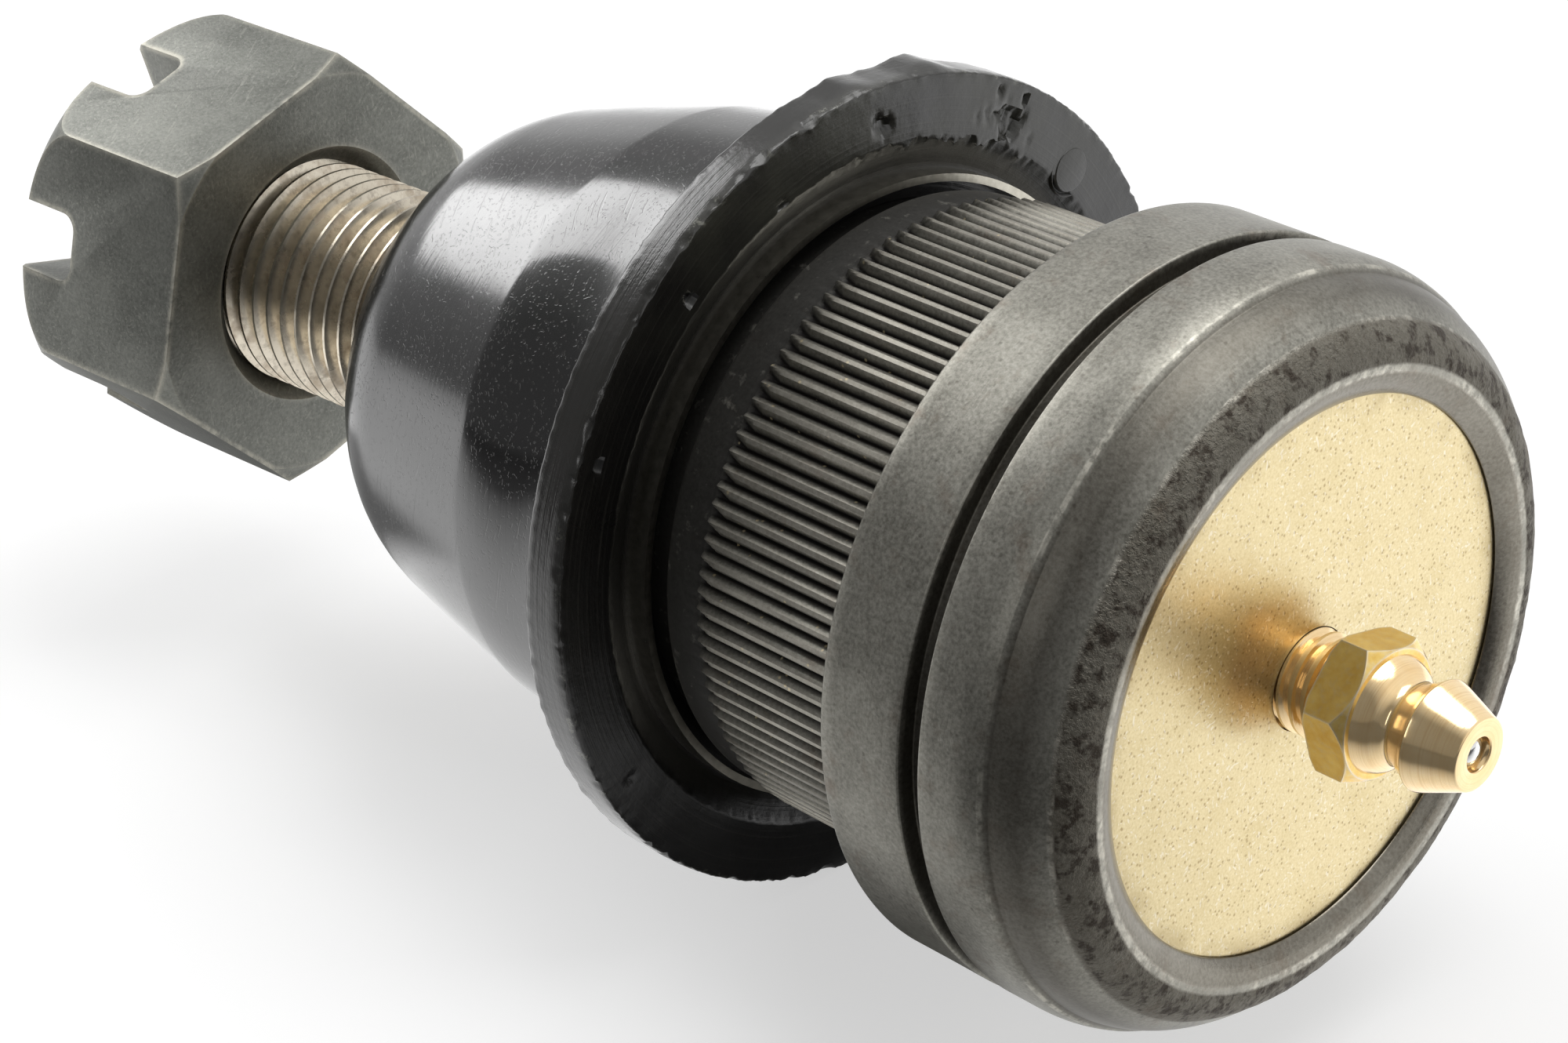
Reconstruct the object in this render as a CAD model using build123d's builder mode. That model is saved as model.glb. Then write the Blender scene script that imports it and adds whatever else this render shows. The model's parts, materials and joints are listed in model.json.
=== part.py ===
"""Pressed-in suspension ball joint: a serrated steel housing with a swaged-in cover and grease
fitting, a preloaded ball stud, a rubber dust boot and a slotted nut.

The housing's axis runs along X, with the cover at +X and the stud leaving at -X. The origin is
the centre of the ball, about which the stud tilts and turns.
"""
import os
from math import cos, radians, sin, sqrt, tan

from build123d import *

os.makedirs("parts", exist_ok=True)

# ---------------------------------------------------------------- driving dimensions, mm

# Running gaps
ball_gap = 0.05          # ball to bearing, radial
bearing_gap = 0.05       # bearing to housing bore
thread_gap = 0.03        # plain cylinders that stand for mating threads
soft_gap = 0.3           # rubber to a moving steel piece
cutter_margin = 0.1      # how far a cutter stands clear of the surface it cuts from

# Ball and stud, measured along the stud from the ball's centre
ball_radius = 13.5
ball_flat = 12.4         # height of the flat on the ball's crown
neck_radius = 7.5
neck_end = 19.0          # where the neck starts to flare
taper_start = 24.5
taper_radius = 9.5       # large end of the taper
taper_end = 47.5
taper_rate = 1 / 8       # change of diameter per length
thread_radius = 15.875 / 2
relief_depth = 0.7
relief_length = 1.6
stud_end = 77.0
stud_chamfer = 1.4
cotter_radius = 1.8
lean = 4.9               # the stud stands this far off the housing's axis
lean_turn = 7.9          # about X, from -Y toward +Z
stud_swing = 18.0        # furthest tilt off the housing's axis, degrees

# Slotted nut
nut_flats = 26.99
nut_height = 15.9
nut_seat = 62.4          # face toward the boot, from the ball's centre
nut_turn = 4.1           # corner position about the stud, from the tilt axis
nut_sides = 6            # each side has a slot in its middle
slot_width = 4.8
slot_depth = 5.3
slot_corner = 1.2
nut_bevel = 1.3          # radial bevel of the seat face's corners
nut_bevel_height = 0.75
crown_bevel = 2.4        # radial loss of the crown's rounded corners
crown_bevel_height = 4.2
nut_countersink = 1.2

# Housing, along X from the ball's centre
cover_face = 22.0
cover_window = 17.0      # radius of the cover that the swaged lip leaves bare
cover_overlap = 1.25     # how far the lip reaches over the cover's edge
cover_thickness = 3.0
lip_rise = 0.95          # crest of the lip above the cover's face
lip_edge_rise = 0.52     # inner edge of the lip above the cover's face
lip_edge_width = 0.15    # flare of the lip's inner edge
lip_crest = 18.9         # radius of the lip's highest ring
lip_foot = 21.25         # radius where the lip meets the swage cone
lip_foot_drop = 0.45
head_radius = 23.65
head_back = 6.4          # shoulder that stops against the control arm
swage_cone_end = 18.3    # front edge of the head's band
swage_edge_radius = 23.3 # the band's radius at that edge
swage_step = 0.35        # depth of the step from the edge to the cone
swage_cone_curve = 0.15  # how far the cone hollows in from a straight one
band_shoulder = 16.4     # where the band starts to close in to its edge
groove_front = 14.0
groove_width = 1.5
groove_depth = 1.25
shoulder_edge = 0.35
pilot_radius = 19.7
serration_height = 0.42
serration_count = 116
serration_end = -7.6
serration_runout = 1.1
serration_floor = 0.16   # depth of the valleys below the pilot
valley_share = 0.62      # of the pitch at the crests
pilot_end = -10.7
pilot_edge = 0.5
boot_seat_radius = 18.4
housing_end = -16.0
bearing_seat = -9.2
neck_clearance = 1.6     # neck to the opening's wall at the furthest tilt

# Bearing shells
bearing_wall = 2.6       # at the ball's equator
bearing_split = 0.4      # half of the gap between the shells
lower_throat = -7.3      # where the lower shell's mouth starts to widen
lower_mouth = 12.4
upper_back = 15.2
grease_port = 4.6
grease_slots = 4
grease_slot_width = 2.4
grease_slot_depth = 0.7

# Preload spring
spring_outer = 15.3
spring_inner = 8.2
spring_thickness = 1.5

# Cover boss
boss_radius = 7.6
boss_height = 1.6
boss_bevel = 0.5

# Steel rings moulded into the boot
ring_web = 1.5           # rubber between the housing and the ring
ring_wall = 0.5
ring_front = 11.6
ring_flange_width = 4.0
ring_flange_back = 14.6
collar_wall = 1.1
collar_width = 1.5

# Dust boot, along its own bent centre line from the ball's centre
boot_rim = 2.2           # rubber outside the ring's flange
boot_flange_face = 12.25
boot_flange_thickness = 2.95
boot_flange_edge = 0.35
boot_root_width = 1.9    # dome outside the ring, where it leaves the flange
boot_root = 16.4
boot_step_radius = 20.6
boot_step = 28.2
boot_nose_radius = 16.4  # as if the nose had no rounding
boot_nose = 46.4
boot_nose_round = 5.6
boot_wall = 2.6
boot_lip_thickness = 3.4
boot_step_lean = 0.85    # share of the stud's lean that the dome has at its step
boot_recess_width = 2.2
boot_recess_depth = 1.1

# Grease fitting, along X from the cover's face
fitting_thread_radius = 6.35 / 2
fitting_shank = 3.0
hex_flats = 7.94
hex_start = 2.9
hex_length = 2.75
hex_turn = 49.0          # corner position about X, from +Y toward +Z
hex_front_bevel = 0.65
hex_front_bevel_length = 0.7
shoulder_radius = 3.6    # of the cone in front of the hexagon
hex_back_bevel = 0.38
hex_back_bevel_length = 0.25
waist_radius = 2.5
waist = 7.2
head_rim_radius = 3.37
head_rim = 9.0
tip_radius = 2.2
tip = 11.9
tip_hole_radius = 1.05
tip_hole_depth = 0.65
check_ball_radius = 1.3
channel_radius = 1.55
channel_end_radius = 0.9
fitting_wire = 0.14
fitting_coil_radius = 1.0
fitting_coils = 6

# ---------------------------------------------------------------- derived sizes and frames

bearing_radius = ball_radius + ball_gap + bearing_wall
bore_radius = bearing_radius + bearing_gap
cover_radius = cover_window + cover_overlap
cover_back = cover_face - cover_thickness
crest_radius = pilot_radius + serration_height
groove_back = groove_front - groove_width
nut_end = nut_seat + nut_height
nut_radius = nut_flats / sqrt(3)
nut_hole_radius = thread_radius + thread_gap
socket_radius = ball_radius + ball_gap
ring_radius = boot_seat_radius + ring_web + ring_wall
ring_flange_radius = ring_radius + ring_flange_width
boot_flange_radius = ring_flange_radius + boot_rim
boot_root_radius = ring_radius + boot_root_width

housing_axis = Axis((0, 0, 0), (1, 0, 0))


def lean_direction(share):
    """Direction of the stud when it has this share of its lean."""
    angle = radians(lean * share)
    turn = radians(lean_turn)
    return Vector(-cos(angle), -sin(angle) * cos(turn), sin(angle) * sin(turn))


def tilt_axis():
    """Axis that the stud tilts about, square to the housing's axis and to the lean."""
    turn = radians(lean_turn)
    return Vector(0, sin(turn), cos(turn))


def boot_station(distance, share):
    """Plane square to the boot's bent centre line, at a distance from the ball's centre."""
    direction = lean_direction(share)
    return Plane(origin=direction * distance, x_dir=tilt_axis(), z_dir=direction)


stud_direction = lean_direction(1)
stud_axis = Axis((0, 0, 0), stud_direction)
# Profiles of the turned stud pieces: x along the stud, y outward
stud_profile = Plane(origin=(0, 0, 0), x_dir=stud_direction, z_dir=tilt_axis())


def stud_plane(distance, turn=0):
    """Plane square to the stud, its x axis turned about the stud from the tilt axis."""
    across = tilt_axis().rotate(stud_axis, turn)
    return Plane(origin=stud_direction * distance, x_dir=across, z_dir=stud_direction)


def taper_radius_at(distance):
    """Radius of the stud's taper at a distance from the ball's centre."""
    return taper_radius - (distance - taper_start) * taper_rate / 2


def opening_radius_at(distance):
    """Radius of the housing's opening that clears the neck at its furthest tilt."""
    swing = radians(stud_swing)
    return distance * tan(swing) + neck_radius / cos(swing) + neck_clearance


# ---------------------------------------------------------------- housing

# Cutter for one valley between two serrations. It spreads where the crests slope down to the
# pilot, so that each ridge ends in a point
pitch = 360 / serration_count
half_pitch = pilot_radius * radians(pitch) / 2
valley_floor = pilot_radius - serration_floor
above_crest = crest_radius + cutter_margin
with BuildPart() as valley:
    with BuildSketch(Plane.YZ.offset(serration_end)):
        Polygon(
            (0, valley_floor),
            (valley_share * half_pitch, above_crest),
            (-valley_share * half_pitch, above_crest),
            align=None,
        )
    extrude(amount=head_back - serration_end)
    with BuildSketch(Plane.XY.offset(pilot_radius * cos(radians(pitch / 2)))):
        Polygon(
            (serration_end + serration_runout, 0),
            (serration_end, half_pitch),
            (serration_end, -half_pitch),
            align=None,
        )
    extrude(amount=above_crest - pilot_radius)

lip_edge = (cover_face + lip_edge_rise, cover_window + lip_edge_width)
lip_top = (cover_face + lip_rise, lip_crest)
lip_base = (cover_face - lip_foot_drop, lip_foot)
band_front = (swage_cone_end, swage_edge_radius)
cone_foot = (swage_cone_end + swage_step, swage_edge_radius - swage_step)
with BuildPart() as housing:
    with BuildSketch(Plane.XY):
        with BuildLine():
            Polyline(
                (cover_back, bore_radius),
                (cover_back, cover_radius),
                (cover_face, cover_radius),
                (cover_face, cover_window),
                lip_edge,
            )
            TangentArc(lip_top, lip_edge, tangent=(0, -1))
            TangentArc(lip_top, lip_base, tangent=(0, 1))
            SagittaArc(lip_base, cone_foot, swage_cone_curve)
            Line(cone_foot, band_front)
            TangentArc((band_shoulder, head_radius), band_front, tangent=(1, 0))
            Polyline(
                (band_shoulder, head_radius),
                (groove_front, head_radius),
                (groove_front, head_radius - groove_depth),
                (groove_back, head_radius - groove_depth),
                (groove_back, head_radius),
                (head_back + shoulder_edge, head_radius),
                (head_back, head_radius - shoulder_edge),
                (head_back, crest_radius),
                (serration_end + serration_runout, crest_radius),
                (serration_end, pilot_radius),
                (pilot_end + pilot_edge, pilot_radius),
                (pilot_end, pilot_radius - pilot_edge),
                (pilot_end, boot_seat_radius),
                (housing_end, boot_seat_radius),
                (housing_end, opening_radius_at(-housing_end)),
                (bearing_seat, opening_radius_at(-bearing_seat)),
                (bearing_seat, bore_radius),
                (cover_back, bore_radius),
            )
        make_face()
    revolve(axis=Axis.X)
    add(
        [valley.part.rotate(housing_axis, serration * pitch) for serration in range(serration_count)],
        mode=Mode.SUBTRACT,
    )
housing.part.label = "housing"
export_step(housing.part, "parts/housing.step")

# ---------------------------------------------------------------- cover plate

with BuildPart() as cover_plate:
    with BuildSketch(Plane.YZ.offset(cover_back)):
        Circle(cover_radius)
    extrude(amount=cover_thickness)
    with BuildSketch(Plane.YZ.offset(cover_back - boss_height)):
        Circle(boss_radius)
    extrude(amount=boss_height)
    boss_edge = cover_plate.edges().group_by(Axis.X)[0]
    chamfer(boss_edge, boss_bevel)
    with BuildSketch(Plane.YZ.offset(cover_back - boss_height)):
        Circle(fitting_thread_radius + thread_gap)
    extrude(amount=cover_thickness + boss_height, mode=Mode.SUBTRACT)
cover_plate.part.label = "cover_plate"
export_step(cover_plate.part, "parts/cover_plate.step")

# ---------------------------------------------------------------- bearing shells

with BuildSketch(Plane.YZ) as grease_lines:
    slot_reach = socket_radius + grease_slot_depth
    with PolarLocations(slot_reach / 2, grease_slots):
        Rectangle(slot_reach, grease_slot_width)

with BuildPart() as lower_bearing:
    with BuildSketch(Plane.XY):
        with BuildLine():
            throat = sqrt(socket_radius**2 - lower_throat**2)
            seat = bearing_seat + bearing_gap
            Polyline(
                (-bearing_split, throat),
                (lower_throat, throat),
                (seat, lower_mouth),
                (seat, bearing_radius),
                (-bearing_split, bearing_radius),
                close=True,
            )
        make_face()
    revolve(axis=Axis.X)
    Sphere(socket_radius, rotation=(0, 90, 0), mode=Mode.SUBTRACT)
    extrude(grease_lines.sketch, amount=lower_throat, mode=Mode.SUBTRACT)
lower_bearing.part.label = "lower_bearing"
export_step(lower_bearing.part, "parts/lower_bearing.step")

with BuildPart() as upper_bearing:
    with BuildSketch(Plane.XY):
        with BuildLine():
            Polyline(
                (bearing_split, grease_port),
                (upper_back, grease_port),
                (upper_back, bearing_radius),
                (bearing_split, bearing_radius),
                close=True,
            )
        make_face()
    revolve(axis=Axis.X)
    Sphere(socket_radius, rotation=(0, 90, 0), mode=Mode.SUBTRACT)
    extrude(grease_lines.sketch, amount=-lower_throat, mode=Mode.SUBTRACT)
upper_bearing.part.label = "upper_bearing"
export_step(upper_bearing.part, "parts/upper_bearing.step")

# ---------------------------------------------------------------- preload spring

with BuildPart() as preload_spring:
    with BuildSketch(Plane.XY):
        with BuildLine():
            Polyline(
                (upper_back, spring_outer),
                (upper_back + spring_thickness, spring_outer),
                (cover_back, spring_inner),
                (cover_back - spring_thickness, spring_inner),
                close=True,
            )
        make_face()
    revolve(axis=Axis.X)
preload_spring.part.label = "preload_spring"
export_step(preload_spring.part, "parts/preload_spring.step")

# ---------------------------------------------------------------- ball stud

slot_direction = tilt_axis().rotate(stud_axis, nut_turn + 180 / nut_sides)

with BuildPart() as ball_stud:
    with BuildSketch(stud_profile):
        with BuildLine():
            neck_start = sqrt(ball_radius**2 - neck_radius**2)
            flat_radius = sqrt(ball_radius**2 - ball_flat**2)
            small_end = taper_radius_at(taper_end)
            ThreePointArc((-ball_flat, flat_radius), (0, ball_radius), (neck_start, neck_radius))
            Line((neck_start, neck_radius), (neck_end, neck_radius))
            TangentArc((neck_end, neck_radius), (taper_start, taper_radius), tangent=(1, 0))
            Polyline(
                (taper_start, taper_radius),
                (taper_end, small_end),
                (taper_end, thread_radius - relief_depth),
                (taper_end + relief_length, thread_radius - relief_depth),
                (taper_end + relief_length + relief_depth, thread_radius),
                (stud_end - stud_chamfer, thread_radius),
                (stud_end, thread_radius - stud_chamfer),
                (stud_end, 0),
                (-ball_flat, 0),
                (-ball_flat, flat_radius),
            )
        make_face()
    revolve(axis=stud_axis)
    # Cotter hole, on the line of two opposite nut slots and at their mid depth
    cotter_centre = stud_direction * (nut_end - slot_depth / 2)
    with BuildSketch(Plane(origin=cotter_centre, x_dir=stud_direction, z_dir=slot_direction)):
        Circle(cotter_radius)
    extrude(amount=nut_radius, both=True, mode=Mode.SUBTRACT)
ball_stud.part.label = "ball_stud"
export_step(ball_stud.part, "parts/ball_stud.step")

# ---------------------------------------------------------------- slotted nut

with BuildPart() as slot:
    with BuildSketch(Plane(origin=stud_direction * nut_end, x_dir=stud_direction, z_dir=slot_direction)):
        RectangleRounded(2 * slot_depth, slot_width, slot_corner)
    extrude(amount=nut_radius)

with BuildPart() as castle_nut:
    with BuildSketch(stud_plane(nut_seat, nut_turn)):
        RegularPolygon(radius=nut_radius, side_count=nut_sides)
    extrude(amount=nut_height)
    # Corners are bevelled at the seat and rounded over at the crown
    with BuildSketch(stud_profile):
        with BuildLine():
            Line((nut_end, 0), (nut_seat, 0))
            Line((nut_seat, 0), (nut_seat, nut_radius - nut_bevel))
            Line((nut_seat, nut_radius - nut_bevel), (nut_seat + nut_bevel_height, nut_radius))
            Line((nut_seat + nut_bevel_height, nut_radius), (nut_end - crown_bevel_height, nut_radius))
            TangentArc(
                (nut_end - crown_bevel_height, nut_radius),
                (nut_end, nut_radius - crown_bevel),
                tangent=(1, 0),
            )
            Line((nut_end, nut_radius - crown_bevel), (nut_end, 0))
        make_face()
    revolve(axis=stud_axis, mode=Mode.INTERSECT)
    with BuildSketch(stud_plane(nut_seat)):
        Circle(nut_hole_radius)
    extrude(amount=nut_height, mode=Mode.SUBTRACT)
    with BuildSketch(stud_profile):
        with BuildLine():
            Polyline(
                (nut_seat, nut_hole_radius),
                (nut_seat, nut_hole_radius + nut_countersink),
                (nut_seat + nut_countersink, nut_hole_radius),
                close=True,
            )
        make_face()
    revolve(axis=stud_axis, mode=Mode.SUBTRACT)
    add(
        [slot.part.rotate(stud_axis, side * 360 / nut_sides) for side in range(nut_sides)],
        mode=Mode.SUBTRACT,
    )
castle_nut.part.label = "castle_nut"
export_step(castle_nut.part, "parts/castle_nut.step")

# ---------------------------------------------------------------- dust boot and its rings

with BuildPart() as boot_retainer_ring:
    with BuildSketch(Plane.XY):
        with BuildLine():
            Polyline(
                (-ring_front, ring_radius - ring_wall),
                (-ring_front, ring_radius),
                (-(ring_flange_back - ring_wall), ring_radius),
                (-(ring_flange_back - ring_wall), ring_flange_radius),
                (-ring_flange_back, ring_flange_radius),
                (-ring_flange_back, ring_radius - ring_wall),
                close=True,
            )
        make_face()
    revolve(axis=Axis.X)
boot_retainer_ring.part.label = "boot_retainer_ring"
export_step(boot_retainer_ring.part, "parts/boot_retainer_ring.step")

lip_back = boot_nose - boot_lip_thickness
collar_front = (lip_back + boot_nose - collar_width) / 2
lip_radius = taper_radius_at(lip_back) + soft_gap
with BuildPart() as boot_collar_ring:
    with BuildSketch(stud_plane(collar_front)):
        Circle(lip_radius + collar_wall)
        Circle(lip_radius, mode=Mode.SUBTRACT)
    extrude(amount=collar_width)
boot_collar_ring.part.label = "boot_collar_ring"
export_step(boot_collar_ring.part, "parts/boot_collar_ring.step")

with BuildPart() as dust_boot:
    # Dome: two skewed cones that meet at the step and follow the lean of the stud
    with BuildSketch(boot_station(boot_root, 0)):
        Circle(boot_root_radius)
    with BuildSketch(boot_station(boot_step, boot_step_lean)):
        Circle(boot_step_radius)
    with BuildSketch(boot_station(boot_nose, 1)):
        Circle(boot_nose_radius)
    loft(ruled=True)
    nose_edge = dust_boot.edges().group_by(Axis.X)[0]
    fillet(nose_edge, boot_nose_round)
    with BuildSketch(Plane.XY):
        with BuildLine():
            Polyline(
                (-boot_flange_face, 0),
                (-boot_flange_face, boot_flange_radius - boot_flange_edge),
                (-boot_flange_face - boot_flange_edge, boot_flange_radius),
                (-boot_flange_face - boot_flange_thickness, boot_flange_radius),
                (-boot_root, boot_root_radius),
                (-boot_root, 0),
                close=True,
            )
        make_face()
    revolve(axis=Axis.X)
    # Recess in the face around the steel ring
    with BuildSketch(Plane.XY):
        with BuildLine():
            Polyline(
                (-boot_flange_face, 0),
                (-boot_flange_face, ring_radius + boot_recess_width),
                (-boot_flange_face - boot_recess_depth, ring_radius),
                (-boot_flange_face - boot_recess_depth, 0),
                close=True,
            )
        make_face()
    revolve(axis=Axis.X, mode=Mode.SUBTRACT)
    # Seat on the housing's end
    with BuildSketch(Plane.YZ.offset(-boot_flange_face)):
        Circle(boot_seat_radius)
    extrude(amount=boot_flange_face - boot_root, mode=Mode.SUBTRACT)
    # Hollow dome, following the same two cones one wall further in
    with BuildSketch(boot_station(boot_root, 0)):
        Circle(boot_root_radius - boot_wall)
    with BuildSketch(boot_station(boot_step, boot_step_lean)):
        Circle(boot_step_radius - boot_wall)
    with BuildSketch(boot_station(lip_back, 1)):
        Circle(boot_nose_radius - boot_wall)
    loft(ruled=True, mode=Mode.SUBTRACT)
    # Lip on the stud, with the groove that holds the small ring
    with BuildSketch(stud_plane(lip_back)):
        Circle(lip_radius)
    extrude(amount=boot_lip_thickness, mode=Mode.SUBTRACT)
    add(boot_collar_ring.part, mode=Mode.SUBTRACT)
    add(boot_retainer_ring.part, mode=Mode.SUBTRACT)
dust_boot.part.label = "dust_boot"
export_step(dust_boot.part, "parts/dust_boot.step")

# ---------------------------------------------------------------- grease fitting

hex_end = hex_start + hex_length
hex_radius = hex_flats / sqrt(3)
ball_seat = tip - tip_hole_depth
ball_centre = ball_seat - sqrt(check_ball_radius**2 - tip_hole_radius**2) - ball_gap
ball_contact = sqrt(check_ball_radius**2 - fitting_coil_radius**2)
spring_front = ball_centre - ball_contact - fitting_wire - ball_gap
spring_back = hex_end

with BuildPart() as fitting_body:
    with BuildSketch(Plane.YZ.offset(cover_face + hex_start)):
        RegularPolygon(radius=hex_radius, side_count=6, rotation=hex_turn)
    extrude(amount=hex_length)
    with BuildSketch(Plane.XY):
        with BuildLine():
            Polyline(
                (cover_face + hex_start, 0),
                (cover_face + hex_start, hex_radius - hex_back_bevel),
                (cover_face + hex_start + hex_back_bevel_length, hex_radius),
                (cover_face + hex_end - hex_front_bevel_length, hex_radius),
                (cover_face + hex_end, hex_radius - hex_front_bevel),
                (cover_face + hex_end, 0),
                close=True,
            )
        make_face()
    revolve(axis=Axis.X, mode=Mode.INTERSECT)
    with BuildSketch(Plane.XY):
        with BuildLine():
            Polyline(
                (cover_face - fitting_shank, 0),
                (cover_face - fitting_shank, fitting_thread_radius),
                (cover_face + hex_start, fitting_thread_radius),
                (cover_face + hex_end, shoulder_radius),
                (cover_face + waist, waist_radius),
                (cover_face + head_rim, head_rim_radius),
                (cover_face + tip, tip_radius),
                (cover_face + tip, 0),
                close=True,
            )
        make_face()
    revolve(axis=Axis.X)
    with BuildSketch(Plane.YZ.offset(cover_face - fitting_shank)):
        Circle(channel_end_radius)
    extrude(amount=fitting_shank + spring_back, mode=Mode.SUBTRACT)
    with BuildSketch(Plane.YZ.offset(cover_face + spring_back)):
        Circle(channel_radius)
    extrude(amount=ball_seat - spring_back, mode=Mode.SUBTRACT)
    with BuildSketch(Plane.YZ.offset(cover_face + ball_seat)):
        Circle(tip_hole_radius)
    extrude(amount=tip_hole_depth, mode=Mode.SUBTRACT)
fitting_body.part.label = "fitting_body"
export_step(fitting_body.part, "parts/fitting_body.step")

with BuildPart() as fitting_ball:
    with Locations((cover_face + ball_centre, 0, 0)):
        Sphere(check_ball_radius)
fitting_ball.part.label = "fitting_ball"
export_step(fitting_ball.part, "parts/fitting_ball.step")

with BuildPart() as fitting_spring:
    coil_start = cover_face + spring_back + fitting_wire
    coil_height = cover_face + spring_front - coil_start
    with BuildLine() as coil:
        Helix(
            pitch=coil_height / fitting_coils,
            height=coil_height,
            radius=fitting_coil_radius,
            center=(coil_start, 0, 0),
            direction=(1, 0, 0),
        )
    with BuildSketch(coil.line ^ 0):
        Circle(fitting_wire)
    sweep(is_frenet=True)
fitting_spring.part.label = "fitting_spring"
export_step(fitting_spring.part, "parts/fitting_spring.step")
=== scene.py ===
import json
import math

import bmesh
import bpy
from mathutils import Matrix, Vector, noise


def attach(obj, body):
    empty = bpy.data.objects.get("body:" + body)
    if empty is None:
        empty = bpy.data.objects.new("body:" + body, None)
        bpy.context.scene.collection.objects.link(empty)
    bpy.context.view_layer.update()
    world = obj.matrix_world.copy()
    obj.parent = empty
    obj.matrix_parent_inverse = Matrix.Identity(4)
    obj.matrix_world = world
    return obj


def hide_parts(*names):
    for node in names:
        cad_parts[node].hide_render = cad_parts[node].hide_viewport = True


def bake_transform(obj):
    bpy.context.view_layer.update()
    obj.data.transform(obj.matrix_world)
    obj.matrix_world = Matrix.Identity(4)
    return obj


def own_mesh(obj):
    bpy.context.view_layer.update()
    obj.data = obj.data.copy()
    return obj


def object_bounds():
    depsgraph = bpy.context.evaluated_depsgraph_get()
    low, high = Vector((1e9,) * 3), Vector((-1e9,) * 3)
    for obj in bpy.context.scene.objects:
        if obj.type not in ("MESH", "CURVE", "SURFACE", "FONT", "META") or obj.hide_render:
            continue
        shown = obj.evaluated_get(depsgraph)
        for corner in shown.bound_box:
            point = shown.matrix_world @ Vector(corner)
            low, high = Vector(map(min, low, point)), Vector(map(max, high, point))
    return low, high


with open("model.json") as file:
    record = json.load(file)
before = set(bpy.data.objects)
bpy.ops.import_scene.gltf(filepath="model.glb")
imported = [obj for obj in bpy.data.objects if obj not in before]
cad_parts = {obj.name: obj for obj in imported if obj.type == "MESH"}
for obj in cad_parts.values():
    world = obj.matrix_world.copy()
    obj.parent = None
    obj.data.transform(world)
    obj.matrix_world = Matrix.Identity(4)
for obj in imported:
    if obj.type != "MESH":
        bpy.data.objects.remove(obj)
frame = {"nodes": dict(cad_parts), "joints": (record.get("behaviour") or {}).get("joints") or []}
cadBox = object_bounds()
mm = 0.001
print("frame loaded")

# Directions that the stud and the boot follow, as the joints have them
joints = {joint["name"]: joint for joint in frame["joints"]}
tiltAxis = Vector(joints["tilt"]["axis"])
studAxis = Vector(joints["spin"]["axis"])
leanAngle = math.acos(-studAxis.x)
studFrame = Matrix((studAxis, tiltAxis.cross(studAxis), tiltAxis)).transposed().to_4x4()

# Outlines: lists of (along, out, rounding) in mm, with the arcs between their corners


def tangentArc(start, tangent, end, steps):
    # Points of the arc that leaves start along tangent and reaches end, without its ends
    chord = Vector(end) - Vector(start)
    along = Vector(tangent)
    across = Vector((-along.y, along.x))
    radius = chord.length_squared / (2 * chord.dot(across))
    centre = Vector(start) + across * radius
    sweep = 2 * math.atan2(chord.dot(across), chord.dot(along))
    points = []
    for i in range(1, steps):
        spoke = Vector(start) - centre
        spoke.rotate(Matrix.Rotation(sweep * i / steps, 2))
        points.append((*(centre + spoke), 0))
    return points


def bowed(start, end, bow, steps):
    # Points between two corners on a line that bows to its left by bow
    chord = Vector(end) - Vector(start)
    side = Vector((-chord.y, chord.x)).normalized()
    points = []
    for i in range(1, steps):
        share = i / steps
        points.append((*(Vector(start) + chord * share + side * bow * 4 * share * (1 - share)), 0))
    return points


def addProfile(bm, points):
    # A closed outline in the XY plane; its rounded corners are bevelled
    verts = [bm.verts.new((along * mm, out * mm, 0)) for along, out, rounding in points]
    for i in range(len(verts)):
        bm.edges.new((verts[i - 1], verts[i]))
    roundings = [rounding for along, out, rounding in points]
    for size in sorted(set(roundings) - {0}):
        corners = [v for v, rounding in zip(verts, roundings) if rounding == size]
        bmesh.ops.bevel(bm, geom=corners, offset=size * mm, offset_type="OFFSET", segments=3,
                        profile=0.5, affect="VERTICES", material=-1)


# Shapes turned round the X axis


def splitLongEdges(bm, longest):
    for edge in [e for e in bm.edges if e.calc_length() > longest * mm]:
        cuts = math.ceil(edge.calc_length() / (longest * mm)) - 1
        bmesh.ops.subdivide_edges(bm, edges=[edge], cuts=cuts)


def spinRound(bm, segments, axis=(1, 0, 0)):
    geom = bm.verts[:] + bm.edges[:]
    bmesh.ops.spin(bm, geom=geom, cent=(0, 0, 0), axis=axis, angle=math.tau, steps=segments,
                   use_merge=True)
    bmesh.ops.remove_doubles(bm, verts=bm.verts, dist=0.002 * mm)


def turnedShell(points, segments, longest=0):
    bm = bmesh.new()
    addProfile(bm, points)
    if longest:
        splitLongEdges(bm, longest)
    spinRound(bm, segments)
    bmesh.ops.recalc_face_normals(bm, faces=bm.faces)
    return bm


def cutSquare(bm, places):
    # Cuts a shell off at (place, side) planes across X and closes the ends
    for place, side in places:
        geom = bm.verts[:] + bm.edges[:] + bm.faces[:]
        cut = bmesh.ops.bisect_plane(bm, geom=geom, plane_co=(place * mm, 0, 0), plane_no=(side, 0, 0),
                                     clear_outer=True)
        rim = [e for e in cut["geom_cut"] if isinstance(e, bmesh.types.BMEdge)]
        bmesh.ops.holes_fill(bm, edges=rim, sides=0)


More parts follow.
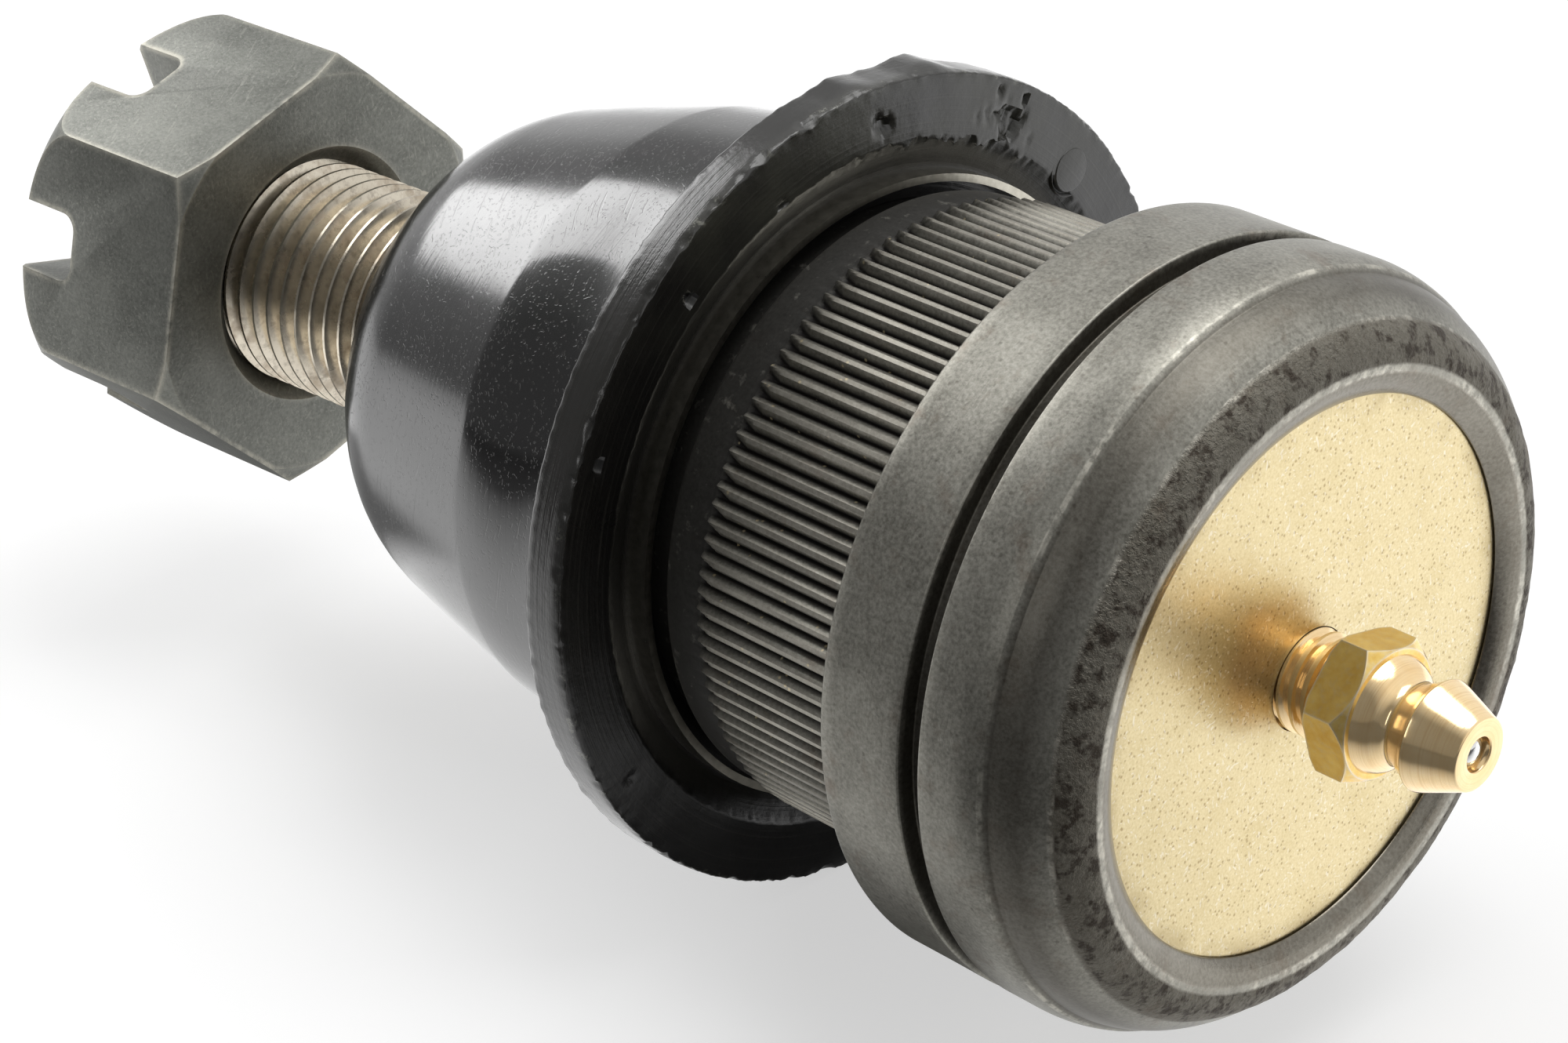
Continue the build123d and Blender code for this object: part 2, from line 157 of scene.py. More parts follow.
def threadShell(radius, depth, pitch, start, end, segments, crestFlat=0.14, rootFlat=0.2):
    # One pitch of the outline is spun up its own helix, then cut square at both ends
    slope = (1 - crestFlat - rootFlat) / 2
    marks = [(0, radius - depth), (slope, radius), (slope + crestFlat, radius),
             (2 * slope + crestFlat, radius - depth), (1, radius - depth)]
    turns = math.ceil((end - start) / pitch) + 3
    bm = bmesh.new()
    first = (start - 1.5 * pitch) * mm
    verts = [bm.verts.new((first + share * pitch * mm, out * mm, 0)) for share, out in marks]
    edges = [bm.edges.new((verts[i], verts[i + 1])) for i in range(len(verts) - 1)]
    bmesh.ops.spin(bm, geom=verts + edges, cent=(0, 0, 0), axis=(1, 0, 0), angle=math.tau * turns,
                   steps=segments * turns, dvec=(pitch * mm / segments, 0, 0))
    bmesh.ops.remove_doubles(bm, verts=bm.verts, dist=0.004 * mm)
    cutSquare(bm, ((start, -1), (end, 1)))
    bmesh.ops.recalc_face_normals(bm, faces=bm.faces)
    return bm


def ringAngle(v):
    # Degrees round X from -Y toward +Z
    return math.degrees(math.atan2(v.co.z, -v.co.y)) % 360


def outward(v):
    return math.hypot(v.co.y, v.co.z) / mm


def moveOut(v, distance):
    # Away from the X axis, distance in mm
    scale = 1 + distance / outward(v)
    v.co.y *= scale
    v.co.z *= scale


# Meshes and objects


def joinInto(target, extra):
    mesh = bpy.data.meshes.new("joining")
    extra.to_mesh(mesh)
    target.from_mesh(mesh)
    extra.free()
    bpy.data.meshes.remove(mesh)


def makePiece(name, bm, sharpAngle=35):
    mesh = bpy.data.meshes.new(name)
    bm.to_mesh(mesh)
    bm.free()
    piece = bpy.data.objects.new(name, mesh)
    bpy.context.scene.collection.objects.link(piece)
    mesh.polygons.foreach_set("use_smooth", [True] * len(mesh.polygons))
    mesh.set_sharp_from_angle(angle=math.radians(sharpAngle))
    return piece


def combine(piece, tool, operation="DIFFERENCE", sharpAngle=35):
    # A boolean with a closed shell, kept as the piece's mesh; the shell is used up
    change = piece.modifiers.new("combine", "BOOLEAN")
    change.operation = operation
    change.solver = "EXACT"
    change.object = tool
    bpy.context.view_layer.update()
    graph = bpy.context.evaluated_depsgraph_get()
    result = bpy.data.meshes.new_from_object(piece.evaluated_get(graph))
    piece.modifiers.clear()
    piece.data = result
    result.set_sharp_from_angle(angle=math.radians(sharpAngle))
    bpy.data.objects.remove(tool)


def smoothStep(x):
    x = min(max(x, 0), 1)
    return x * x * (3 - 2 * x)


def uneven(v, scale, seed=0):
    # Smooth noise from -1 to 1, with features about scale mm across
    return noise.noise(v.co / (scale * mm) + Vector((seed, 0, 0)))


# Node trees


class Nodes:
    # Short calls for building a node tree; inputs are given by socket name or number
    def __init__(self, tree):
        self.tree = tree

    def add(self, kind, inputs=None, **settings):
        node = self.tree.nodes.new(kind)
        for key, value in settings.items():
            setattr(node, key, value)
        for key, value in (inputs or {}).items():
            self.put(node.inputs[key], value)
        return node

    def put(self, socket, value):
        if isinstance(value, bpy.types.NodeSocket):
            self.tree.links.new(value, socket)
        elif isinstance(value, bpy.types.Node):
            self.tree.links.new(value.outputs[0], socket)
        else:
            socket.default_value = value

    def math(self, operation, a, b=0.0, clamp=False):
        return self.add("ShaderNodeMath", {0: a, 1: b}, operation=operation, use_clamp=clamp).outputs[0]

    def times(self, *values):
        product = values[0]
        for value in values[1:]:
            product = self.math("MULTIPLY", product, value)
        return product

    def mixColor(self, factor, a, b, blend="MIX"):
        node = self.add("ShaderNodeMix", data_type="RGBA", blend_type=blend)
        self.put(node.inputs[0], factor)
        self.put(node.inputs[6], a)
        self.put(node.inputs[7], b)
        return node.outputs[2]

    def mixValue(self, factor, a, b):
        node = self.add("ShaderNodeMix", data_type="FLOAT")
        self.put(node.inputs[0], factor)
        self.put(node.inputs[2], a)
        self.put(node.inputs[3], b)
        return node.outputs[0]

    def noise(self, vector, scale, detail=3.0, roughness=0.5):
        inputs = {"Vector": vector, "Scale": scale, "Detail": detail, "Roughness": roughness}
        return self.add("ShaderNodeTexNoise", inputs).outputs[0]

    def ramp(self, value, low, high):
        # 0 at low, 1 at high
        inputs = {0: value, 1: low, 2: high, 3: 0.0, 4: 1.0}
        return self.add("ShaderNodeMapRange", inputs, clamp=True).outputs[0]

    def window(self, value, low, high, soft):
        # 1 between low and high, 0 outside
        return self.times(self.ramp(value, low - soft, low), self.ramp(value, high + soft, high))

    def scaled(self, vector, scale, turn=(0, 0, 0), kind="POINT"):
        inputs = {"Vector": vector, "Scale": scale, "Rotation": turn}
        return self.add("ShaderNodeMapping", inputs, vector_type=kind).outputs[0]


def linearColor(*display):
    # From a display colour, 0 to 255
    linear = [c / 255 / 12.92 if c <= 10 else ((c / 255 + 0.055) / 1.055) ** 2.4 for c in display]
    return (*linear, 1.0)


def linearColors(colors):
    return {name: linearColor(*color) for name, color in colors.items()}


def makeGroup(name, inputs, outputs):
    tree = bpy.data.node_groups.new(name, "ShaderNodeTree")
    for label, kind, value in inputs:
        socket = tree.interface.new_socket(label, in_out="INPUT", socket_type=kind)
        if value is not None:
            socket.default_value = value
    for label in outputs:
        tree.interface.new_socket(label, in_out="OUTPUT", socket_type="NodeSocketFloat")
    n = Nodes(tree)
    return n, n.add("NodeGroupInput"), n.add("NodeGroupOutput")


def edgeWearGroup():
    # Mask of the metal's edges, broken up by noise
    inputs = [("Vector", "NodeSocketVector", None), ("Radius", "NodeSocketFloat", 0.4 * mm),
              ("Amount", "NodeSocketFloat", 0.5), ("Grain", "NodeSocketFloat", 1500.0)]
    grainShare, patchShare, patchScale = 0.6, 0.5, 0.12
    n, source, target = makeGroup("edgeWear", inputs, ["Mask"])
    rounded = n.add("ShaderNodeBevel", {"Radius": source.outputs["Radius"]}, samples=4)
    geometry = n.add("ShaderNodeNewGeometry")
    facing = n.add("ShaderNodeVectorMath", {0: rounded.outputs[0], 1: geometry.outputs["Normal"]},
                   operation="DOT_PRODUCT")
    edge = n.ramp(facing.outputs["Value"], 0.985, 0.90)
    grain = n.noise(source.outputs["Vector"], source.outputs["Grain"], 4.0, 0.6)
    patches = n.noise(source.outputs["Vector"], n.times(source.outputs["Grain"], patchScale), 2.0)
    level = n.math("ADD", n.times(grain, grainShare), n.times(patches, patchShare))
    level = n.math("ADD", level, source.outputs["Amount"])
    n.put(target.inputs["Mask"], n.times(edge, n.ramp(level, 0.95, 1.15)))
    return n.tree


def speckleGroup():
    # Fine grains, scattered specks and broad clouds for phosphated, plated and dusty surfaces
    inputs = [("Vector", "NodeSocketVector", None), ("Scale", "NodeSocketFloat", 2500.0),
              ("Share", "NodeSocketFloat", 0.3)]
    speckScale, cloudScale = 0.6, 0.05
    n, source, target = makeGroup("speckle", inputs, ["Grain", "Specks", "Clouds"])
    vector, scale = source.outputs["Vector"], source.outputs["Scale"]
    n.put(target.inputs["Grain"], n.noise(vector, scale, 4.0, 0.65))
    cells = n.add("ShaderNodeTexVoronoi", {"Vector": vector, "Scale": n.times(scale, speckScale)})
    tone = n.add("ShaderNodeSeparateColor", {0: cells.outputs["Color"]}).outputs[0]
    near = n.ramp(cells.outputs["Distance"], 0.42, 0.2)
    chosen = n.math("LESS_THAN", tone, source.outputs["Share"])
    n.put(target.inputs["Specks"], n.times(near, chosen))
    n.put(target.inputs["Clouds"], n.noise(vector, n.times(scale, cloudScale), 3.0, 0.6))
    return n.tree


def turningGroup():
    # Where a point lies along and out from the X axis, in mm, and fine rings as a lathe leaves them
    inputs = [("Vector", "NodeSocketVector", None), ("Rings", "NodeSocketFloat", 6.0)]
    driftScale, driftAmount = 60.0, 0.25
    n, source, target = makeGroup("turning", inputs, ["Along", "Out", "Lines"])
    split = n.add("ShaderNodeSeparateXYZ", {0: source.outputs["Vector"]})
    flat = n.add("ShaderNodeCombineXYZ", {1: split.outputs[1], 2: split.outputs[2]})
    radius = n.add("ShaderNodeVectorMath", {0: flat.outputs[0]}, operation="LENGTH").outputs["Value"]
    along, out = n.times(split.outputs[0], 1 / mm), n.times(radius, 1 / mm)
    drift = n.times(n.noise(source.outputs["Vector"], driftScale, 2.0), driftAmount)
    place = n.add("ShaderNodeCombineXYZ", {0: along, 1: out, 2: drift})
    n.put(target.inputs["Along"], along)
    n.put(target.inputs["Out"], out)
    n.put(target.inputs["Lines"], n.noise(place.outputs[0], source.outputs["Rings"], 2.0, 0.7))
    return n.tree


def scratchGroup():
    # Thin short scratches that lie several ways
    inputs = [("Vector", "NodeSocketVector", None), ("Scale", "NodeSocketFloat", 6000.0),
              ("Level", "NodeSocketFloat", 0.72)]
    turns = ((0.4, 0, 0.5), (1.7, 0.3, 0), (2.6, -0.2, 0.9))
    stretch = (1.0, 28.0, 1.0)
    n, source, target = makeGroup("scratches", inputs, ["Mask"])
    low = source.outputs["Level"]
    high = n.math("ADD", low, 0.03)
    total = None
    for turn in turns:
        stretched = n.scaled(source.outputs["Vector"], stretch, turn, "TEXTURE")
        lines = n.ramp(n.noise(stretched, source.outputs["Scale"], 0.0), low, high)
        total = lines if total is None else n.math("MAXIMUM", total, lines)
    n.put(target.inputs["Mask"], total)
    return n.tree


groups = {"edgeWear": edgeWearGroup(), "speckle": speckleGroup(), "turning": turningGroup(),
          "scratches": scratchGroup()}


def startMaterial(name):
    material = bpy.data.materials.new(name)
    material.use_nodes = True
    material.node_tree.nodes.clear()
    n = Nodes(material.node_tree)
    place = n.add("ShaderNodeTexCoord").outputs["Object"]
    shader = n.add("ShaderNodeBsdfPrincipled")
    output = n.add("ShaderNodeOutputMaterial")
    n.put(output.inputs["Surface"], shader.outputs[0])
    return material, n, place, shader


def useGroup(n, name, inputs):
    node = n.add("ShaderNodeGroup", node_tree=groups[name])
    for key, value in inputs.items():
        n.put(node.inputs[key], value)
    return node.outputs


def sumOf(n, *values):
    total = values[0]
    for value in values[1:]:
        total = n.math("ADD", total, value)
    return total


def bump(n, shader, height, distance):
    node = n.add("ShaderNodeBump", {"Height": height, "Distance": distance * mm, "Strength": 1.0})
    n.put(shader.inputs["Normal"], node.outputs[0])


# Plain steels, some of them on several nodes


def plainSteel(name, dark, light, rough):
    material, n, place, shader = startMaterial(name)
    grain = n.noise(place, 1800.0, 4.0, 0.6)
    n.put(shader.inputs["Base Color"], n.mixColor(grain, linearColor(*dark), linearColor(*light)))
    shader.inputs["Metallic"].default_value = 1.0
    n.put(shader.inputs["Roughness"], n.mixValue(grain, rough * 0.8, rough * 1.2))
    bump(n, shader, grain, 0.01)
    return material


springSteel = plainSteel("springSteel", (96, 96, 98), (140, 140, 142), 0.3)
bearingSteel = plainSteel("bearingSteel", (104, 100, 94), (134, 128, 120), 0.45)
ringSteel = plainSteel("ringSteel", (150, 146, 134), (206, 202, 190), 0.3)
checkBallSteel = plainSteel("checkBall", (220, 220, 220), (235, 235, 235), 0.1)
print("shared finishes made")


def finishPiece(piece, material, body, slot, *nodes):
    piece.data.materials.clear()
    piece.data.materials.append(material)
    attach(piece, body)
    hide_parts(*nodes)


# Housing

housingSizes = {
    "boreRadius": 16.2, "coverBack": 19.0, "coverRadius": 18.25, "coverFace": 22.0, "seatGap": 0.02,
    "window": 17.0, "undercut": 0.35, "undercutRise": 0.12, "lipEdgeRise": 0.27, "lipEdgeRadius": 17.08,
    "lipRise": 0.95, "lipCrest": 18.9, "lipFoot": 21.25, "lipFootDrop": 0.45, "coneEnd": 18.3,
    "edgeRadius": 23.3, "edgeStep": 0.35, "coneHollow": 0.3, "shoulder": 16.4, "headRadius": 23.65,
    "grooveFront": 14.0, "grooveBack": 12.5, "grooveDepth": 1.25, "headBack": 6.4, "longestEdge": 0.8,
    "lipPits": 0.06, "lipPitSize": 1.1, "bandWaves": 0.02, "segments": 360,
}

barrelSizes = {
    "start": 6.7, "crestRadius": 20.12, "pilotRadius": 19.7, "floorRadius": 19.54,
    "teeth": 116, "stepsPerTooth": 8, "teethEnd": -7.6, "teethRunout": 1.2, "crestShare": 0.36,
    "tipRise": 0.35, "grains": 0.02, "grainSize": 0.25, "pilotEnd": -10.7, "seatRadius": 18.4, "end": -16.0,
    "mouthRadius": 14.68, "throatRadius": 12.47, "seat": -9.2,
    "longestEdge": 2.6, "runoutRows": (1, 0.8, 0.6, 0.4, 0.25, 0.1),
}

# Of these, the ridges' colour is a painted highlight, the sparkle colour paints glints, and the colours of
# the valleys, the groove, the cone and the lip's inner bevel are painted shade
housingColors = {
    "dark": (112, 110, 102), "light": (158, 156, 147), "rust": (98, 76, 58), "specks": (64, 58, 50),
    "ridge": (186, 180, 168), "valley": (26, 22, 19), "pilot": (15, 13, 12), "sparkle": (225, 208, 165),
    "groove": (52, 46, 38), "hollow": (64, 58, 50), "scale": (88, 80, 68), "burnt": (48, 38, 31),
    "inner": (100, 92, 80), "rubbed": (206, 202, 190),
}

# How much bare steel shows along the edges of the head
rubbedEdges = {"coneEnd": 0.8, "grooveFront": 0.5, "grooveBack": 0.35, "headBack": 0.6}

# Where the housing's finish changes, in mm along X or out from it: (no effect, full effect) for a ramp
housingRamps = {
    "barrel": (6.5, 6.3), "valleyOut": (19.95, 19.66), "valleyAlong": (-7.9, -7.3),
    "pilot": (-6.9, -7.7), "ridgeOut": (19.98, 20.08), "sparkleAlong": (-8.2, -7.6),
    "grooveOut": (23.5, 23.2), "front": (21.2, 21.5), "coneStart": (18.35, 18.6), "coneEnd": (21.3, 20.2),
    "creaseAlong": (21.0, 21.3), "edgeOut": (23.1, 23.2), "innerOut": (18.75, 18.5),
}

# The lip's rings: (low, high, softness), out from the X axis
housingWindows = {"burnt": (19.1, 21.15, 0.2), "crest": (18.6, 18.9, 0.2), "crease": (21.18, 21.32, 0.08)}


def barrelColor(n, place, color, along, out, broken):
    # Painted highlight on the ridges, painted shade in the valleys, dark pilot and painted glints; also the
    # masks of valleys and pilot
    tint = linearColors(housingColors)
    ramps = housingRamps
    barrel = n.ramp(along, *ramps["barrel"])
    # Painted shade: the valleys between the ridges are darkened
    valley = n.times(barrel, n.ramp(out, *ramps["valleyOut"]), n.ramp(along, *ramps["valleyAlong"]))
    pilot = n.times(n.ramp(along, *ramps["pilot"]), 0.9)
    # Painted highlight: the ridges' crests are lightened
    ridge = n.times(barrel, n.ramp(out, *ramps["ridgeOut"]))
    color = n.mixColor(n.times(ridge, 0.3), color, tint["ridge"])
    color = n.mixColor(valley, color, tint["valley"])
    color = n.mixColor(n.times(pilot, n.ramp(broken, 0.1, 0.4)), color, tint["pilot"])
    # Painted glints: scattered bright specks on the barrel
    sparkle = useGroup(n, "speckle", {"Vector": place, "Scale": 5200.0, "Share": 0.02})["Specks"]
    sparkle = n.times(sparkle, barrel, n.ramp(along, *ramps["sparkleAlong"]), 0.6)
    color = n.mixColor(sparkle, color, tint["sparkle"])
    return color, valley, pilot


def headColor(n, place, color, along, out, broken):
    # Painted shade in the groove and on the cone, burnt ring round the lip, rubbed edges, painted shade on
    # the lip's inner bevel; also two masks of the lip
    tint = linearColors(housingColors)
    s, ramps, windows = housingSizes, housingRamps, housingWindows
    # Painted shade: the groove is darkened
    groove = n.window(along, s["grooveBack"], s["grooveFront"], 0.1)
    groove = n.times(groove, n.ramp(out, *ramps["grooveOut"]))
    color = n.mixColor(n.times(groove, 0.6), color, tint["groove"])
    front = n.ramp(along, *ramps["front"])
    # Painted shade: the cone between the band's front edge and the lip is darkened
    hollow = n.times(n.ramp(along, *ramps["coneStart"]), n.ramp(along, *ramps["coneEnd"]))
    color = n.mixColor(n.times(hollow, 0.55), color, tint["hollow"])
    burnt = n.times(front, n.window(out, *windows["burnt"]))
    color = n.mixColor(n.times(burnt, 0.5), color, tint["scale"])
    color = n.mixColor(n.times(burnt, n.ramp(broken, 0.5, 0.62), 0.75), color, tint["burnt"])
    patches = n.ramp(n.noise(place, 160.0, 3.0, 0.6), 0.42, 0.62)
    chips = n.times(n.ramp(n.noise(place, 1500.0, 4.0, 0.7), 0.42, 0.62), patches)
    crest = n.times(front, n.window(out, *windows["crest"]), n.math("ADD", n.times(chips, 0.7), 0.15))
    crease = n.times(n.ramp(along, *ramps["creaseAlong"]), n.window(out, *windows["crease"]))
    crease = n.times(crease, n.ramp(broken, 0.5, 0.6))
    rubbed = n.math("MAXIMUM", crest, n.times(crease, patches, 0.5))
    for name, share in rubbedEdges.items():
        edge = s[name]
        beside = n.window(along, edge - 0.1, edge + 0.1, 0.08)
        band = n.times(beside, n.ramp(out, *ramps["edgeOut"]), chips, share)
        rubbed = n.math("MAXIMUM", rubbed, band)
    # Painted shade: the lip's inner bevel round the cover is darkened
    inner = n.times(front, n.ramp(out, *ramps["innerOut"]))
    color = n.mixColor(n.times(inner, 0.5), color, tint["inner"])
    return n.mixColor(rubbed, color, tint["rubbed"]), burnt, inner


def housingFinish():
    material, n, place, shader = startMaterial("housingSteel")
    tint = linearColors(housingColors)
    speckle = useGroup(n, "speckle", {"Vector": place, "Scale": 4200.0, "Share": 0.06})
    turning = useGroup(n, "turning", {"Vector": place, "Rings": 7.0})
    along, out = turning["Along"], turning["Out"]
    broken = n.noise(place, 900.0, 3.0, 0.7)
    tone = n.math("ADD", n.times(speckle["Grain"], 0.65), n.times(speckle["Clouds"], 0.35))
    color = n.mixColor(n.ramp(tone, 0.36, 0.64), tint["dark"], tint["light"])
    rust = n.ramp(n.noise(place, 380.0, 4.0, 0.7), 0.56, 0.72)
    color = n.mixColor(n.times(rust, 0.35), color, tint["rust"])
    color = n.mixColor(n.times(speckle["Specks"], 0.35), color, tint["specks"])
    color, valley, pilot = barrelColor(n, place, color, along, out, broken)
    color, burnt, inner = headColor(n, place, color, along, out, broken)
    n.put(shader.inputs["Base Color"], color)
    covered = n.times(n.math("MAXIMUM", valley, pilot), 0.6)
    n.put(shader.inputs["Metallic"], n.math("SUBTRACT", 0.9, covered))
    dull = n.math("MAXIMUM", n.math("MAXIMUM", burnt, valley), pilot)
    rough = n.math("ADD", n.mixValue(speckle["Grain"], 0.34, 0.52), n.times(dull, 0.2))
    n.put(shader.inputs["Roughness"], n.math("SUBTRACT", rough, n.times(inner, 0.2)))
    pits = n.ramp(n.noise(place, 2600.0, 3.0, 0.7), 0.42, 0.6)
    grain, lines = n.times(speckle["Grain"], 0.5), n.times(turning["Lines"], 0.35)
    height = sumOf(n, grain, lines, n.times(pits, burnt, 2.5))
    bump(n, shader, height, 0.018)
    return material


def headShell(s):
    face = s["coverFace"]
    lipInner = (face + s["lipEdgeRise"], s["lipEdgeRadius"])
    lipTop = (face + s["lipRise"], s["lipCrest"])
    lipFoot = (face - s["lipFootDrop"], s["lipFoot"])
    coneFoot = (s["coneEnd"] + s["edgeStep"], s["edgeRadius"] - s["edgeStep"])
    bandFront = (s["coneEnd"], s["edgeRadius"])
    bandShoulder = (s["shoulder"], s["headRadius"])
    grooveFloor = s["headRadius"] - s["grooveDepth"]
    points = [
        (s["coverBack"], s["boreRadius"], 0),
        (s["coverBack"], s["coverRadius"], 0),
        (face + s["seatGap"], s["coverRadius"], 0),
        (face + s["seatGap"], s["window"] + s["undercut"], 0),
        (face + s["undercutRise"], s["window"], 0.04),
        (*lipInner, 0.08),
        *tangentArc(lipTop, (0, -1), lipInner, 6)[::-1],
        (*lipTop, 0),
        *tangentArc(lipTop, (0, 1), lipFoot, 10),
        (*lipFoot, 0.06),
        *bowed(lipFoot, coneFoot, -s["coneHollow"], 10),
        (*coneFoot, 0.05),
        (*bandFront, 0.08),
        *tangentArc(bandShoulder, (1, 0), bandFront, 5)[::-1],
        (*bandShoulder, 0),
        (s["grooveFront"], s["headRadius"], 0.12),
        (s["grooveFront"], grooveFloor, 0.1),
        (s["grooveBack"], grooveFloor, 0.1),
        (s["grooveBack"], s["headRadius"], 0.12),
        (s["headBack"], s["headRadius"], 0.3),
        (s["headBack"], s["boreRadius"], 0),
    ]
    bm = turnedShell(points, s["segments"], s["longestEdge"])
    for v in bm.verts:
        out, along = outward(v), v.co.x / mm
        if out < s["window"] - 0.5:
            continue
        moveOut(v, s["bandWaves"] * uneven(v, 5))
        pitted = smoothStep((along - face + 0.6) / 0.4) * smoothStep((out - s["lipCrest"] + 0.35) / 0.4)
        v.co.x -= pitted * s["lipPits"] * (uneven(v, s["lipPitSize"]) + 0.6 * uneven(v, 0.4)) * mm
    return bm


def toothDepth(angle, fromTip, s):
    # How far down its valley a point lies, 0 to 1; each ridge ends in a slanted point
    phase = (angle / 360 * s["teeth"]) % 1
    runout = min(max(fromTip / s["teethRunout"], 0), 1)
    low = 0.5 - s["crestShare"] / 2 + s["crestShare"] * (1 - runout)
    high = 0.5 + s["crestShare"] / 2
    beside = max(low - phase, phase - high, 0)
    if phase < low - 0.5:
        beside = min(beside, phase + 1 - high)
    return min(beside / ((1 - s["crestShare"]) / 2), 1)


def barrelShell(s):
    tip, bore = s["teethEnd"], housingSizes["boreRadius"]
    runoutRows = [(tip + s["teethRunout"] * share, s["crestRadius"], 0) for share in s["runoutRows"]]
    points = [
        (s["start"], bore, 0),
        (s["start"], s["crestRadius"], 0),
        *runoutRows,
        (tip, s["pilotRadius"], 0),
        (s["pilotEnd"], s["pilotRadius"], 0.45),
        (s["pilotEnd"], s["seatRadius"], 0),
        (s["end"], s["seatRadius"], 0.3),
        (s["end"], s["mouthRadius"], 0.3),
        (s["seat"], s["throatRadius"], 0),
        (s["seat"], bore, 0),
    ]
    bm = turnedShell(points, s["teeth"] * s["stepsPerTooth"], s["longestEdge"])
    for v in bm.verts:
        out, fromTip = outward(v), v.co.x / mm - tip
        if out < s["pilotRadius"] + 0.01 or fromTip < 0.01:
            continue
        depth = toothDepth(ringAngle(v), fromTip, s)
        fall, rise = smoothStep(fromTip / s["tipRise"]), smoothStep(fromTip / s["tipRise"] + 0.4)
        floor = s["pilotRadius"] + (s["floorRadius"] - s["pilotRadius"]) * fall
        crest = s["pilotRadius"] + (s["crestRadius"] - s["pilotRadius"]) * rise
        target = crest + depth * (floor - crest)
        target += s["grains"] * uneven(v, s["grainSize"])
        moveOut(v, target - out)
    return bm


def buildHousing():
    bm = headShell(housingSizes)
    joinInto(bm, barrelShell(barrelSizes))
    finishPiece(makePiece("housingTurned", bm), housingFinish(), "housing", "housing_steel", "housing")


buildHousing()
print("housing built")

# Dust boot

flangeSizes = {
    "face": -12.25, "radius": 26.6, "back": -15.2, "edge": 0.12, "recessOuter": 22.6, "recessInner": 20.6,
    "recessDepth": 1.1, "bore": 18.45, "rootRadius": 22.3, "root": -16.4, "segments": 720,
    "longestEdge": 0.4, "edgeReach": 0.45, "crumbAngle": 108, "crumbSpread": 40, "crumbLeast": 0.3,
    "ragged": 0.07, "notch": 0.42, "notchSize": 1.4, "crumbs": 0.18, "pitDepth": 0.4, "pitGrain": 0.12,
}

# Flash on the rim: (angle, half width in degrees, height in mm)
flashLumps = [(85.5, 4.5, 0.28), (99, 6, 0.45), (136, 7, 0.3)]

# Pits in the face: (angle, radius, half length, half width), mm
facePits = [(89, 24.2, 1.1, 0.8), (116.5, 24.4, 2.1, 1.4),
            (48.2, 23.7, 0.6, 0.6), (66, 22.9, 1.2, 0.2), (21, 25.0, 0.8, 0.3), (-30, 24.5, 0.7, 0.4)]

ejectorSizes = {
    "angle": 135.3, "at": 23.6, "radius": 1.5, "rise": 0.05, "moat": 0.28, "moatDepth": 0.25, "root": 0.3,
    "segments": 48,
}

domeSizes = {
    "root": (15.4, 22.9), "foot": (16.8, 22.0), "crease": (28.2, 20.49), "noseStart": (39.4, 17.55),
    "noseEnd": (46.4, 11.0), "footBow": -0.05, "coneBow": 0.04, "noseBow": 1.15, "creaseRounding": 0.2,
    "wall": 2.6, "lip": (43.0, 46.4, 8.5, 12.0), "segments": 288, "longestEdge": 0.9,
    "stepShare": 0.85, "waves": 0.008, "waveSize": 9.0,
}

# The colour for the upper part of the flange's face is a dusty-looking painted highlight, and the rim's
# colour is a painted sheen
bootColors = {
    "dome": (13, 12, 12), "domeMarks": (46, 44, 40), "flange": (6, 5, 5), "flangeGrain": (15, 14, 13),
    "dust": (60, 60, 50), "rings": (70, 68, 62), "rim": (52, 51, 48), "nicks": (140, 140, 130),
}


# Where the flange's finish changes, in mm up, along X or out from it: (no effect, full effect)
flangeRamps = {
    "dustUp": (12, 22), "dustAlong": (-13.2, -12.6), "rimOut": (26.3, 26.5), "nickOut": (26.15, 26.4),
}


def rubberFinish():
    material, n, place, shader = startMaterial("bootRubber")
    tint = linearColors(bootColors)
    turning = useGroup(n, "turning", {"Vector": place, "Rings": 3.0})
    clouds = n.noise(place, 110.0, 4.0, 0.65)
    shader.inputs["IOR"].default_value = 1.9
    n.put(shader.inputs["Roughness"], n.mixValue(n.ramp(clouds, 0.35, 0.7), 0.12, 0.22))
    marks = useGroup(n, "scratches", {"Vector": place, "Scale": 5000.0, "Level": 0.73})["Mask"]
    n.put(shader.inputs["Base Color"], n.mixColor(n.times(marks, 0.4), tint["dome"], tint["domeMarks"]))
    grain = n.noise(place, 1500.0, 2.0)
    height = sumOf(n, n.times(turning["Lines"], 0.25), n.times(clouds, 0.3), n.times(grain, 0.1))
    bump(n, shader, n.math("SUBTRACT", height, n.times(marks, 0.25)), 0.02)
    return material


